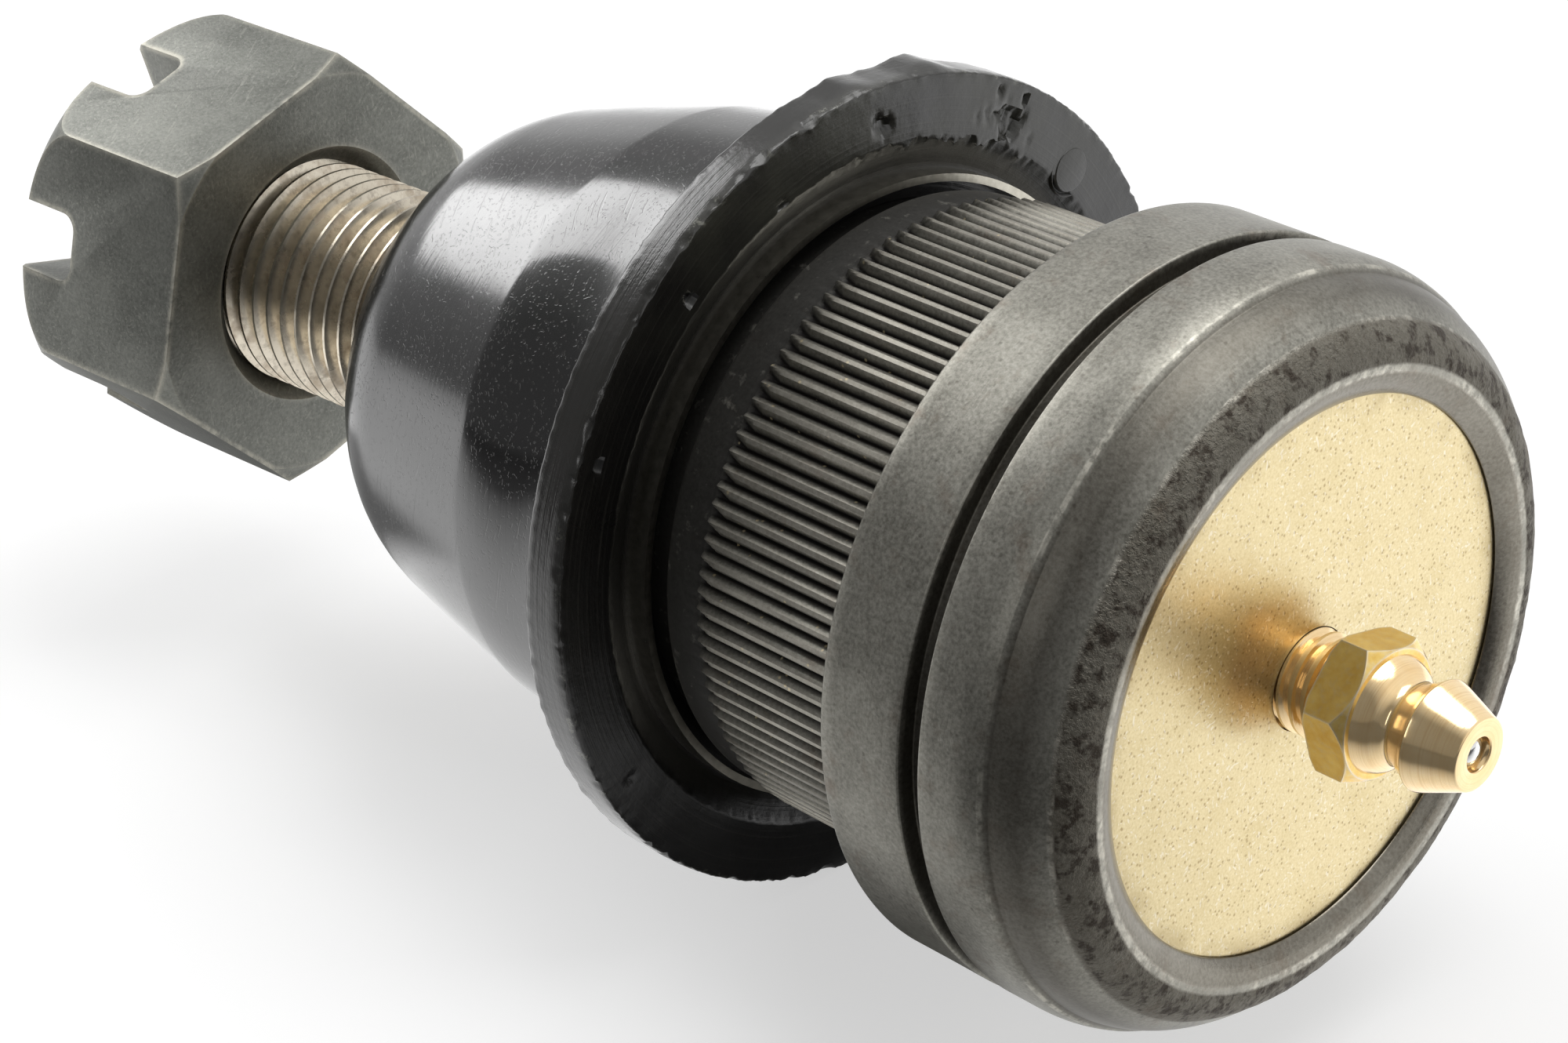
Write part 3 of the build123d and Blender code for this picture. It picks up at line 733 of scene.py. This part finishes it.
def flangeFinish():
    material, n, place, shader = startMaterial("flangeRubber")
    tint = linearColors(bootColors)
    speckle = useGroup(n, "speckle", {"Vector": place, "Scale": 2600.0, "Share": 0.05})
    turning = useGroup(n, "turning", {"Vector": place, "Rings": 5.0})
    along, out = turning["Along"], turning["Out"]
    height = n.add("ShaderNodeSeparateXYZ", {0: place}).outputs[2]
    # A painted highlight in dusty-looking patches lies on the upper part of the face
    dustLow, dustHigh = flangeRamps["dustUp"]
    top = n.times(n.ramp(height, dustLow * mm, dustHigh * mm), n.ramp(along, *flangeRamps["dustAlong"]))
    dust = n.times(top, n.ramp(speckle["Clouds"], 0.35, 0.62))
    color = n.mixColor(speckle["Grain"], tint["flange"], tint["flangeGrain"])
    color = n.mixColor(n.times(dust, 0.6), color, tint["dust"])
    lines = n.ramp(turning["Lines"], 0.56, 0.7)
    # Painted sheen: the rim's colour is lighter all round
    rim = n.ramp(out, *flangeRamps["rimOut"])
    patches = n.ramp(n.noise(place, 130.0, 3.0, 0.6), 0.44, 0.6)
    nicks = n.times(n.ramp(n.noise(place, 900.0, 4.0, 0.8), 0.55, 0.62), patches)
    nicks = n.times(nicks, n.ramp(out, *flangeRamps["nickOut"]), n.window(along, -12.75, -12.0, 0.1))
    color = n.mixColor(n.times(lines, 0.25), color, tint["rings"])
    color = n.mixColor(n.times(rim, 0.5), color, tint["rim"])
    color = n.mixColor(n.times(nicks, 0.6), color, tint["nicks"])
    n.put(shader.inputs["Base Color"], color)
    shader.inputs["IOR"].default_value = 1.6
    rough = n.mixValue(speckle["Clouds"], 0.2, 0.42)
    n.put(shader.inputs["Roughness"], n.math("SUBTRACT", rough, n.times(rim, 0.1)))
    lumps = n.noise(place, 420.0, 3.0, 0.6)
    relief = sumOf(n, n.times(speckle["Grain"], 0.5), n.times(turning["Lines"], 0.6), n.times(lumps, 1.2))
    bump(n, shader, relief, 0.03)
    return material


def flangeProfile(s):
    return [
        (s["face"] - s["recessDepth"], s["bore"], 0),
        (s["face"] - s["recessDepth"], s["recessInner"], 0.2),
        (s["face"], s["recessOuter"], 0.15),
        (s["face"], s["radius"], s["edge"]),
        (s["back"], s["radius"], 0.25),
        (s["root"], s["rootRadius"], 0.6),
        (s["root"], s["bore"], 0),
    ]


def pitAt(v, s):
    depth = 0
    for angle, radius, halfLength, halfWidth in facePits:
        around = (ringAngle(v) - angle + 180) % 360 - 180
        x = math.radians(around) * radius / halfLength
        y = (outward(v) - radius) / halfWidth
        inside = 1.5 - math.hypot(x, y)
        if inside > 0:
            torn = inside + 1.1 * uneven(v, 1.1) + 0.5 * uneven(v, 0.45)
            depth = max(depth, smoothStep((torn - 0.7) / 0.6))
    return depth * (s["pitDepth"] + s["pitGrain"] * (uneven(v, 0.5) + uneven(v, 0.25)))


def shapeFlange(bm, s):
    for v in bm.verts:
        out, along, angle = outward(v), v.co.x / mm, ringAngle(v)
        nearRim = smoothStep((out - s["radius"] + 0.6) / 0.5)
        if nearRim > 0:
            frontEdge = smoothStep(1 - abs(s["face"] - along) / s["edgeReach"])
            backEdge = smoothStep(1 - abs(along - s["back"]) / s["edgeReach"])
            torn = max(0, uneven(v, s["notchSize"], 7) - 0.28) + max(0, uneven(v, 0.5, 3) - 0.3) * 0.5
            inward = torn * s["notch"] * 2 + s["ragged"] * (1 + uneven(v, 0.35))
            moveOut(v, -nearRim * frontEdge * inward)
            v.co.x += frontEdge * nearRim * s["ragged"] * uneven(v, 0.6, 5) * mm
            moveOut(v, nearRim * backEdge * s["ragged"] * 1.6 * uneven(v, 0.8, 11))
            for place, half, height in flashLumps:
                lump = smoothStep(1 - abs(angle - place) / half)
                moveOut(v, nearRim * lump * height * smoothStep((s["face"] - along + 0.1) / 1.2))
        if along > s["face"] - 0.2 and out < s["radius"] - 0.3:
            v.co.x += (0.03 * uneven(v, 2.5) - pitAt(v, s)) * mm
        nearRecess = smoothStep(1 - abs(out - s["recessOuter"] + 0.15) / 0.5)
        if nearRecess > 0 and along > s["face"] - s["recessDepth"]:
            zone = s["crumbLeast"] + smoothStep(1 - abs(angle - s["crumbAngle"]) / s["crumbSpread"])
            moveOut(v, nearRecess * zone * s["crumbs"] * (uneven(v, 0.6, 2) + 0.7 * uneven(v, 0.3)) * 2)


def ejectorMark(s, face):
    # A shallow disc in a moat, as the mould's pin leaves
    outer, radius = s["radius"] + s["moat"], s["radius"]
    points = [
        (-s["root"], 0, 0),
        (-s["root"], outer, 0),
        (0.02, outer, 0.04),
        (-s["moatDepth"], radius + 0.05, 0.05),
        (s["rise"], radius - 0.08, 0.05),
        (s["rise"], 0, 0),
    ]
    bm = turnedShell(points, s["segments"])
    angle = math.radians(s["angle"])
    place = Vector((face, -s["at"] * math.cos(angle), s["at"] * math.sin(angle))) * mm
    bmesh.ops.translate(bm, verts=bm.verts, vec=place)
    return bm


def buildFlange():
    s = flangeSizes
    bm = turnedShell(flangeProfile(s), s["segments"], s["longestEdge"])
    shapeFlange(bm, s)
    joinInto(bm, ejectorMark(ejectorSizes, s["face"]))
    finishPiece(makePiece("bootFlange", bm), flangeFinish(), "housing", "boot_rubber", "dust_boot")


def leanShare(distance, s):
    root, step, nose = s["root"][0], s["crease"][0], s["noseEnd"][0]
    if distance < step:
        return smoothStep((distance - root) / (step - root)) * s["stepShare"]
    return s["stepShare"] + min((distance - step) / (nose - step), 1) * (1 - s["stepShare"])


def bendToStud(bm, s):
    # A ring at a distance from the ball's centre turns about the tilt axis by its share of the lean
    for v in bm.verts:
        turn = Matrix.Rotation(leanAngle * leanShare(-v.co.x / mm, s), 4, tiltAxis)
        v.co = turn @ v.co


def buildDome():
    s = domeSizes
    lipStart, lipEnd, lipRadius, lipFoot = s["lip"]
    outside = [
        (*s["root"], 0), (*s["foot"], 0.6),
        *bowed(s["foot"], s["crease"], s["footBow"], 8), (*s["crease"], s["creaseRounding"]),
        *bowed(s["crease"], s["noseStart"], s["coneBow"], 8), (*s["noseStart"], 0),
        *bowed(s["noseStart"], s["noseEnd"], s["noseBow"], 10), (*s["noseEnd"], 0),
    ]
    inside = [(distance + 0.6, radius - s["wall"], 0) for distance, radius in
              (s["root"], s["foot"], s["crease"], s["noseStart"])]
    lip = [(lipEnd, lipRadius, 0.3), (lipStart, lipRadius, 0.2), (lipStart, lipFoot, 0)]
    outline = [(-distance, radius, rounding) for distance, radius, rounding in outside + lip + inside[::-1]]
    bm = turnedShell(outline, s["segments"], s["longestEdge"])
    for v in bm.verts:
        moveOut(v, s["waves"] * uneven(v, s["waveSize"]))
    bendToStud(bm, s)
    piece = makePiece("bootDome", bm, 60)
    piece.data.materials.append(rubberFinish())
    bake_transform(piece)
    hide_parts("dust_boot")


buildFlange()
buildDome()
print("boot built")

# Stud

studSizes = {
    "ballRadius": 13.5, "ballFlat": 12.4, "neckRadius": 7.5, "neckEnd": 19.0, "taperStart": 24.5,
    "taperRadius": 9.5, "taperEnd": 47.5, "taperEndRadius": 8.06, "coreRadius": 6.9,
    "threadRadius": 7.9375, "pitch": 1.411, "threadStart": 49.4, "end": 77.0, "endChamfer": 1.4,
    "cotterRadius": 1.8, "cotterAt": 75.65, "cotterTurn": 34.1, "cotterLength": 24,
    "overlap": 2, "coreCover": 0.3, "rootLift": 0.16, "segments": 96, "ballRings": 64, "threadSegments": 72,
}

studColors = {
    "dark": (184, 174, 156), "light": (228, 220, 204), "stains": (128, 102, 74), "grime": (70, 58, 46),
}


def studFinish():
    material, n, place, shader = startMaterial("studSteel")
    tint = linearColors(studColors)
    streaks = n.noise(n.scaled(place, (900.0, 60.0, 60.0)), 1.0, 3.0)
    stains = n.ramp(n.noise(place, 260.0, 4.0, 0.7), 0.5, 0.7)
    grime = n.ramp(n.noise(place, 1500.0, 3.0, 0.7), 0.5, 0.7)
    color = n.mixColor(streaks, tint["dark"], tint["light"])
    color = n.mixColor(n.times(stains, 0.6), color, tint["stains"])
    color = n.mixColor(n.times(grime, 0.35), color, tint["grime"])
    n.put(shader.inputs["Base Color"], color)
    shader.inputs["Metallic"].default_value = 1.0
    n.put(shader.inputs["Roughness"], n.mixValue(stains, 0.24, 0.42))
    bump(n, shader, streaks, 0.01)
    return material


def chamferEnd(bm, end, radius, chamfer):
    # Pulls the thread's last turns in to the cone of its end chamfer
    for v in bm.verts:
        allowed = radius - max(0, v.co.x / mm - (end - chamfer))
        if outward(v) > allowed:
            moveOut(v, allowed - outward(v))


def ballShell(s):
    bm = bmesh.new()
    bmesh.ops.create_uvsphere(bm, u_segments=s["segments"], v_segments=s["ballRings"],
                              radius=s["ballRadius"] * mm)
    bmesh.ops.rotate(bm, verts=bm.verts, matrix=Matrix.Rotation(math.pi / 2, 3, "Y"))
    cutSquare(bm, ((-s["ballFlat"], -1),))
    return bm


def buildStud():
    s = studSizes
    neckStart = math.sqrt(s["ballRadius"] ** 2 - s["neckRadius"] ** 2)
    bm = ballShell(s)
    start, end = neckStart - s["overlap"], s["threadStart"] + s["overlap"]
    core = s["coreRadius"] + s["coreCover"]
    shank = [
        (start, 0, 0),
        (start, s["neckRadius"], 0),
        (s["neckEnd"], s["neckRadius"], 3.0),
        (s["taperStart"], s["taperRadius"], 1.5),
        (s["taperEnd"], s["taperEndRadius"], 0.3),
        (s["taperEnd"] + 0.5, core, 0),
        (end, core, 0),
        (end, 0, 0),
    ]
    joinInto(bm, turnedShell(shank, s["segments"]))
    depth = s["threadRadius"] - s["coreRadius"] - s["rootLift"]
    thread = threadShell(s["threadRadius"], depth, s["pitch"], s["threadStart"], s["end"],
                         s["threadSegments"])
    chamferEnd(thread, s["end"], s["threadRadius"], s["endChamfer"])
    blank = makePiece("threadBlank", thread, 40)
    hole = bmesh.new()
    bmesh.ops.create_cone(hole, cap_ends=True, segments=40, radius1=s["cotterRadius"] * mm,
                          radius2=s["cotterRadius"] * mm, depth=s["cotterLength"] * mm)
    turn = Matrix.Rotation(math.radians(s["cotterTurn"]), 4, "X")
    place = Matrix.Translation((s["cotterAt"] * mm, 0, 0)) @ turn
    bmesh.ops.transform(hole, matrix=place, verts=hole.verts)
    combine(blank, makePiece("cotterCutter", hole))
    bm.from_mesh(blank.data)
    bpy.data.objects.remove(blank)
    bmesh.ops.transform(bm, matrix=studFrame, verts=bm.verts)
    piece = makePiece("studThreaded", bm, 40)
    finishPiece(piece, studFinish(), "stud", "stud_steel", "ball_stud")


buildStud()
print("stud built")

# Slotted nut

nutSizes = {"edgeRounding": 0.45, "sharpest": 25}

nutColors = {
    "dark": (94, 95, 90), "light": (126, 127, 121), "scuffs": (150, 150, 142), "worn": (196, 192, 178),
}


def nutFinish():
    material, n, place, shader = startMaterial("nutPhosphate")
    tint = linearColors(nutColors)
    speckle = useGroup(n, "speckle", {"Vector": place, "Scale": 3800.0, "Share": 0.05})
    wear = useGroup(n, "edgeWear", {"Vector": place, "Radius": 0.8 * mm, "Amount": 0.58, "Grain": 1700.0})
    tone = n.math("ADD", n.times(speckle["Grain"], 0.5), n.times(speckle["Clouds"], 0.5))
    color = n.mixColor(n.ramp(tone, 0.36, 0.64), tint["dark"], tint["light"])
    scuffs = useGroup(n, "scratches", {"Vector": place, "Scale": 5500.0, "Level": 0.74})["Mask"]
    color = n.mixColor(n.times(scuffs, 0.3), color, tint["scuffs"])
    color = n.mixColor(n.times(wear["Mask"], 0.8), color, tint["worn"])
    n.put(shader.inputs["Base Color"], color)
    shader.inputs["Metallic"].default_value = 0.85
    n.put(shader.inputs["Roughness"], n.mixValue(speckle["Clouds"], 0.38, 0.55))
    bump(n, shader, speckle["Grain"], 0.025)
    return material


def mergedCopy(node):
    bm = bmesh.new()
    bm.from_mesh(frame["nodes"][node].data)
    bmesh.ops.remove_doubles(bm, verts=bm.verts, dist=0.002 * mm)
    bmesh.ops.dissolve_limit(bm, angle_limit=math.radians(1), verts=bm.verts, edges=bm.edges,
                             delimit={"NORMAL"})
    return bm


def buildNut():
    bm = mergedCopy("castle_nut")
    limit = math.radians(nutSizes["sharpest"])
    sharp = [e for e in bm.edges if e.is_manifold and e.calc_face_angle() > limit]
    bmesh.ops.bevel(bm, geom=sharp, offset=nutSizes["edgeRounding"] * mm, offset_type="OFFSET", segments=3,
                    profile=0.5, affect="EDGES", material=-1, clamp_overlap=True)
    finishPiece(makePiece("nutSlotted", bm, 30), nutFinish(), "stud", "nut_steel", "castle_nut")


buildNut()
print("nut built")

# Grease fitting

fittingSizes = {
    "coverFace": 22.0, "shankStart": -2.9, "threadRadius": 3.14, "threadDepth": 0.42, "pitch": 0.907,
    "crestFlat": 0.22, "rootFlat": 0.12,
    "neckRadius": 2.75, "hexFlats": 7.94, "hexStart": 2.9, "hexLength": 2.75, "hexTurn": 49.0,
    "frontBevel": 0.65, "frontBevelLength": 0.7, "backBevel": 0.38, "backBevelLength": 0.25,
    "shoulder": 3.6, "shoulderEnd": 6.45, "shoulderEndRadius": 3.2, "waist": 7.2, "waistRadius": 2.5,
    "headRim": 9.0, "headRimRadius": 3.37, "tip": 11.9, "tipRadius": 2.2, "holeRadius": 1.05,
    "holeDepth": 0.65, "channelRadius": 0.8, "threadGap": 0.25, "segments": 96, "threadSegments": 64,
    "longestEdge": 0.5,
}

fittingColors = {
    "dark": (244, 206, 146), "light": (255, 234, 192), "bronze": (214, 164, 96), "flats": (232, 192, 100),
    "flatsLight": (250, 220, 138), "spots": (214, 210, 196), "worn": (230, 226, 216),
}


def fittingFinish():
    material, n, place, shader = startMaterial("fittingChromate")
    tint = linearColors(fittingColors)
    clouds = n.noise(place, 600.0, 3.0, 0.6)
    turning = useGroup(n, "turning", {"Vector": place, "Rings": 9.0})
    color = n.mixColor(clouds, tint["dark"], tint["light"])
    bronze = n.ramp(turning["Lines"], 0.5, 0.75)
    n.put(shader.inputs["Base Color"], n.mixColor(n.times(bronze, 0.3), color, tint["bronze"]))
    shader.inputs["Metallic"].default_value = 0.85
    n.put(shader.inputs["Roughness"], n.mixValue(clouds, 0.10, 0.2))
    bump(n, shader, turning["Lines"], 0.004)
    return material


def hexagonFinish():
    material, n, place, shader = startMaterial("fittingFlats")
    tint = linearColors(fittingColors)
    clouds = n.noise(place, 700.0, 4.0, 0.7)
    wear = useGroup(n, "edgeWear", {"Vector": place, "Radius": 0.25 * mm, "Amount": 0.75, "Grain": 3000.0})
    color = n.mixColor(n.ramp(clouds, 0.35, 0.65), tint["flats"], tint["flatsLight"])
    spots = n.ramp(n.noise(place, 2600.0, 3.0, 0.7), 0.5, 0.66)
    color = n.mixColor(n.times(spots, 0.25), color, tint["spots"])
    n.put(shader.inputs["Base Color"], n.mixColor(wear["Mask"], color, tint["worn"]))
    shader.inputs["Metallic"].default_value = 0.75
    n.put(shader.inputs["Roughness"], n.mixValue(clouds, 0.14, 0.24))
    bump(n, shader, clouds, 0.002)
    return material


def fittingHead(s):
    face = s["coverFace"]
    hexEnd = s["hexStart"] + s["hexLength"]
    points = [
        (face + s["hexStart"] - 0.5, 0, 0),
        (face + s["hexStart"] - 0.5, s["neckRadius"], 0),
        (face + s["hexStart"] + 0.1, s["neckRadius"], 0),
        (face + hexEnd - 0.05, s["shoulder"], 0),
        (face + s["shoulderEnd"], s["shoulderEndRadius"], 0.35),
        (face + s["waist"] - 0.15, s["waistRadius"], 0.25),
        (face + s["waist"] + 0.35, s["waistRadius"], 0.3),
        (face + s["headRim"] - 0.25, s["headRimRadius"] - 0.2, 0.12),
        (face + s["headRim"], s["headRimRadius"], 0.06),
        (face + s["tip"], s["tipRadius"], 0.12),
        (face + s["tip"], s["holeRadius"], 0.1),
        (face + s["tip"] - s["holeDepth"], s["holeRadius"], 0),
        (face + s["tip"] - s["holeDepth"], s["channelRadius"], 0),
        (face + hexEnd, s["channelRadius"], 0),
        (face + hexEnd, 0, 0),
    ]
    return turnedShell(points, s["segments"], s["longestEdge"])


def fittingHexagon(s):
    start = s["coverFace"] + s["hexStart"]
    end = start + s["hexLength"]
    corner = s["hexFlats"] / math.sqrt(3)
    prism = bmesh.new()
    bmesh.ops.create_cone(prism, cap_ends=True, segments=6, radius1=corner * mm, radius2=corner * mm,
                          depth=s["hexLength"] * mm)
    turn = Matrix.Rotation(math.radians(s["hexTurn"]), 4, "X") @ Matrix.Rotation(math.pi / 2, 4, "Y")
    place = Matrix.Translation(((start + s["hexLength"] / 2) * mm, 0, 0)) @ turn
    bmesh.ops.transform(prism, matrix=place, verts=prism.verts)
    hexagon = makePiece("fittingHexagon", prism, 20)
    trim = turnedShell([
        (start, 0, 0),
        (start, corner - s["backBevel"], 0),
        (start + s["backBevelLength"], corner, 0),
        (end - s["frontBevelLength"], corner, 0),
        (end, corner - s["frontBevel"], 0),
        (end, 0, 0),
    ], s["segments"])
    combine(hexagon, makePiece("hexagonTrim", trim), "INTERSECT", 20)
    return hexagon


def buildFitting():
    s = fittingSizes
    face = s["coverFace"]
    bm = fittingHead(s)
    start, end = face + s["shankStart"], face + s["hexStart"] - s["threadGap"]
    thread = threadShell(s["threadRadius"], s["threadDepth"], s["pitch"], start, end, s["threadSegments"],
                         s["crestFlat"], s["rootFlat"])
    joinInto(bm, thread)
    turned = makePiece("fittingTurned", bm, 40)
    finishPiece(turned, fittingFinish(), "housing", "fitting_steel", "fitting_body")
    finishPiece(fittingHexagon(s), hexagonFinish(), "housing", "fitting_steel", "fitting_body")


buildFitting()
print("fitting built")

# The fitting's spring, as a merged copy of its node with a mesh of its own


def buildSpring():
    piece = makePiece("springCoil", mergedCopy("fitting_spring"), 60)
    finishPiece(piece, springSteel, "housing", "spring_steel", "fitting_spring")
    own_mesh(piece)


buildSpring()
print("spring built")

# Cover, and the other nodes of the frame that keep their shape

coverColors = {
    "dark": (208, 190, 144), "light": (228, 213, 172), "clouds": (204, 184, 132), "specks": (156, 132, 88),
    "scratches": (246, 240, 226), "stain": (150, 130, 92),
}


def coverFinish():
    material, n, place, shader = startMaterial("coverChromate")
    tint = linearColors(coverColors)
    speckle = useGroup(n, "speckle", {"Vector": place, "Scale": 5600.0, "Share": 0.25})
    turning = useGroup(n, "turning", {"Vector": place, "Rings": 5.0})
    color = n.mixColor(n.ramp(speckle["Grain"], 0.3, 0.7), tint["dark"], tint["light"])
    color = n.mixColor(n.times(n.ramp(speckle["Clouds"], 0.55, 0.75), 0.35), color, tint["clouds"])
    color = n.mixColor(n.times(speckle["Specks"], 0.7), color, tint["specks"])
    lines = useGroup(n, "scratches", {"Vector": place, "Scale": 6000.0, "Level": 0.745})["Mask"]
    color = n.mixColor(n.times(lines, 0.45), color, tint["scratches"])
    # Darker in cloudy patches towards the cover's edge, next to the lip
    stain = n.times(n.ramp(turning["Out"], 15.6, 17.2), n.ramp(speckle["Clouds"], 0.4, 0.6))
    n.put(shader.inputs["Base Color"], n.mixColor(n.times(stain, 0.5), color, tint["stain"]))
    shader.inputs["Metallic"].default_value = 0.9
    n.put(shader.inputs["Roughness"], n.mixValue(speckle["Clouds"], 0.26, 0.38))
    bump(n, shader, n.math("SUBTRACT", speckle["Grain"], n.times(lines, 0.5)), 0.008)
    return material


nodeFinishes = {
    "cover_plate": coverFinish(),
    "lower_bearing": bearingSteel,
    "upper_bearing": bearingSteel,
    "preload_spring": springSteel,
    "boot_retainer_ring": ringSteel,
    "boot_collar_ring": ringSteel,
    "fitting_ball": checkBallSteel,
}

for node, material in nodeFinishes.items():
    slots = frame["nodes"][node].data.materials
    slots.clear()
    slots.append(material)
print("nodes dressed")

# Camera, floor and light

# Lens, sensor and place in mm, clipStart in metres, angles in degrees
cameraSettings = {
    "lens": 88.27, "sensor": 36.0, "clipStart": 0.01, "place": (138.84, -153.66, 105.68), "tilt": 63.355,
    "turn": 46.12,
}

camera = bpy.data.objects.new("camera", bpy.data.cameras.new("camera"))
bpy.context.scene.collection.objects.link(camera)
camera.data.lens = cameraSettings["lens"]
camera.data.sensor_width = cameraSettings["sensor"]
camera.data.clip_start = cameraSettings["clipStart"]
camera.location = Vector(cameraSettings["place"]) * mm
camera.rotation_euler = (math.radians(cameraSettings["tilt"]), 0, math.radians(cameraSettings["turn"]))
bpy.context.scene.camera = camera

# Lamps: (azimuth, elevation, distance, width, height, radiance); azimuth 0 is toward +X
lamps = {
    "windowLamp": (186, 34, 0.45, 0.21, 0.23, 4.8),
    "topLamp": (60, 75, 0.5, 0.35, 0.35, 3.4),
    "sideLamp": (-89, 27, 0.5, 0.07, 0.3, 2.5),
}

# Glow is what a ray from the camera or from gloss sees; unlit patches are (left, right, front, back)
studio = {
    "floorSize": 4.0, "floorTone": 0.5, "floorMirrorDark": 0.1, "floorGlow": 0.55, "floorMirrorGlow": 1.0,
    "flagAzimuth": -55, "flagStart": 10, "flagEnd": 55, "unlitEdge": 6,
    "unlit": ((-11, 5, -24, 24), (-100, -66, -26, 18)),
    "worldLight": 0.45, "worldPlain": 0.3, "darkAzimuth": -88, "darkElevation": -5, "darkLevel": 0.2,
    "lightStart": 0.5, "lightEnd": -0.1,
    "sideFlag": (157, 30), "sideFlagShade": 0.45, "sideFlagOuter": 20, "sideFlagInner": 9,
}


def grey(level):
    return (level, level, level, 1)


def aim(azimuth, elevation):
    a, e = math.radians(azimuth), math.radians(elevation)
    return Vector((math.cos(e) * math.cos(a), math.cos(e) * math.sin(a), math.sin(e)))


def buildFloor():
    s = studio
    bm = bmesh.new()
    bmesh.ops.create_grid(bm, x_segments=1, y_segments=1, size=s["floorSize"] / 2)
    bmesh.ops.translate(bm, verts=bm.verts, vec=(0, 0, cadBox[0][2]))
    floor = makePiece("floor", bm)
    material, n, place, shader = startMaterial("floorPaper")
    path = n.add("ShaderNodeLightPath")
    mirrored = path.outputs["Is Glossy Ray"]
    toward = n.add("ShaderNodeVectorMath", {0: place, 1: aim(s["flagAzimuth"], 0)}, operation="DOT_PRODUCT")
    shade = n.ramp(toward.outputs["Value"], s["flagStart"] * mm, s["flagEnd"] * mm)
    split = n.add("ShaderNodeSeparateXYZ", {0: place})
    edge = s["unlitEdge"] * mm
    unlit = shade
    for left, right, front, back in s["unlit"]:
        patch = n.times(n.window(split.outputs[0], left * mm, right * mm, edge),
                        n.window(split.outputs[1], front * mm, back * mm, edge))
        unlit = n.math("MAXIMUM", unlit, patch)
    dark = n.times(mirrored, shade)
    n.put(shader.inputs["Base Color"], n.mixColor(dark, grey(s["floorTone"]), grey(s["floorMirrorDark"])))
    shader.inputs["Roughness"].default_value = 0.9
    shader.inputs["Emission Color"].default_value = grey(1)
    glow = n.times(mirrored, n.math("SUBTRACT", 1.0, unlit), s["floorMirrorGlow"])
    glow = n.math("ADD", glow, n.times(path.outputs["Is Camera Ray"], s["floorGlow"]))
    n.put(shader.inputs["Emission Strength"], glow)
    floor.data.materials.append(material)


def buildWorld():
    s = studio
    world = bpy.data.worlds.new("studio")
    bpy.context.scene.world = world
    world.use_nodes = True
    world.node_tree.nodes.clear()
    n = Nodes(world.node_tree)
    direction = n.add("ShaderNodeTexCoord").outputs["Generated"]
    dark = aim(s["darkAzimuth"], s["darkElevation"])
    facing = n.add("ShaderNodeVectorMath", {0: direction, 1: dark}, operation="DOT_PRODUCT")
    facing = facing.outputs["Value"]
    level = n.mixValue(n.ramp(facing, s["lightStart"], s["lightEnd"]), s["darkLevel"], 1.0)
    flag = n.add("ShaderNodeVectorMath", {0: direction, 1: aim(*s["sideFlag"])}, operation="DOT_PRODUCT")
    outer, inner = math.cos(math.radians(s["sideFlagOuter"])), math.cos(math.radians(s["sideFlagInner"]))
    flagged = n.ramp(flag.outputs["Value"], outer, inner)
    level = n.times(level, n.math("SUBTRACT", 1.0, n.times(flagged, s["sideFlagShade"])))
    path = n.add("ShaderNodeLightPath")
    even = s["worldLight"] * s["worldPlain"]
    plain = n.math("ADD", n.times(level, s["worldLight"] - even), even)
    strength = n.mixValue(path.outputs["Is Glossy Ray"], plain, level)
    strength = n.math("MAXIMUM", strength, path.outputs["Is Camera Ray"])
    background = n.add("ShaderNodeBackground", {"Color": grey(1), "Strength": strength})
    n.add("ShaderNodeOutputWorld", {"Surface": background.outputs[0]})


def addLamp(name, azimuth, elevation, distance, width, height, radiance):
    lamp = bpy.data.objects.new(name, bpy.data.lights.new(name, "AREA"))
    bpy.context.scene.collection.objects.link(lamp)
    lamp.data.shape = "RECTANGLE"
    lamp.data.size = width
    lamp.data.size_y = height
    lamp.data.energy = math.pi * width * height * radiance
    lamp.location = aim(azimuth, elevation) * distance
    lamp.rotation_euler = (-lamp.location).to_track_quat("-Z", "Y").to_euler()


buildFloor()
buildWorld()
for name, setting in lamps.items():
    addLamp(name, *setting)
bpy.context.scene.view_settings.view_transform = "Standard"
print("studio built")
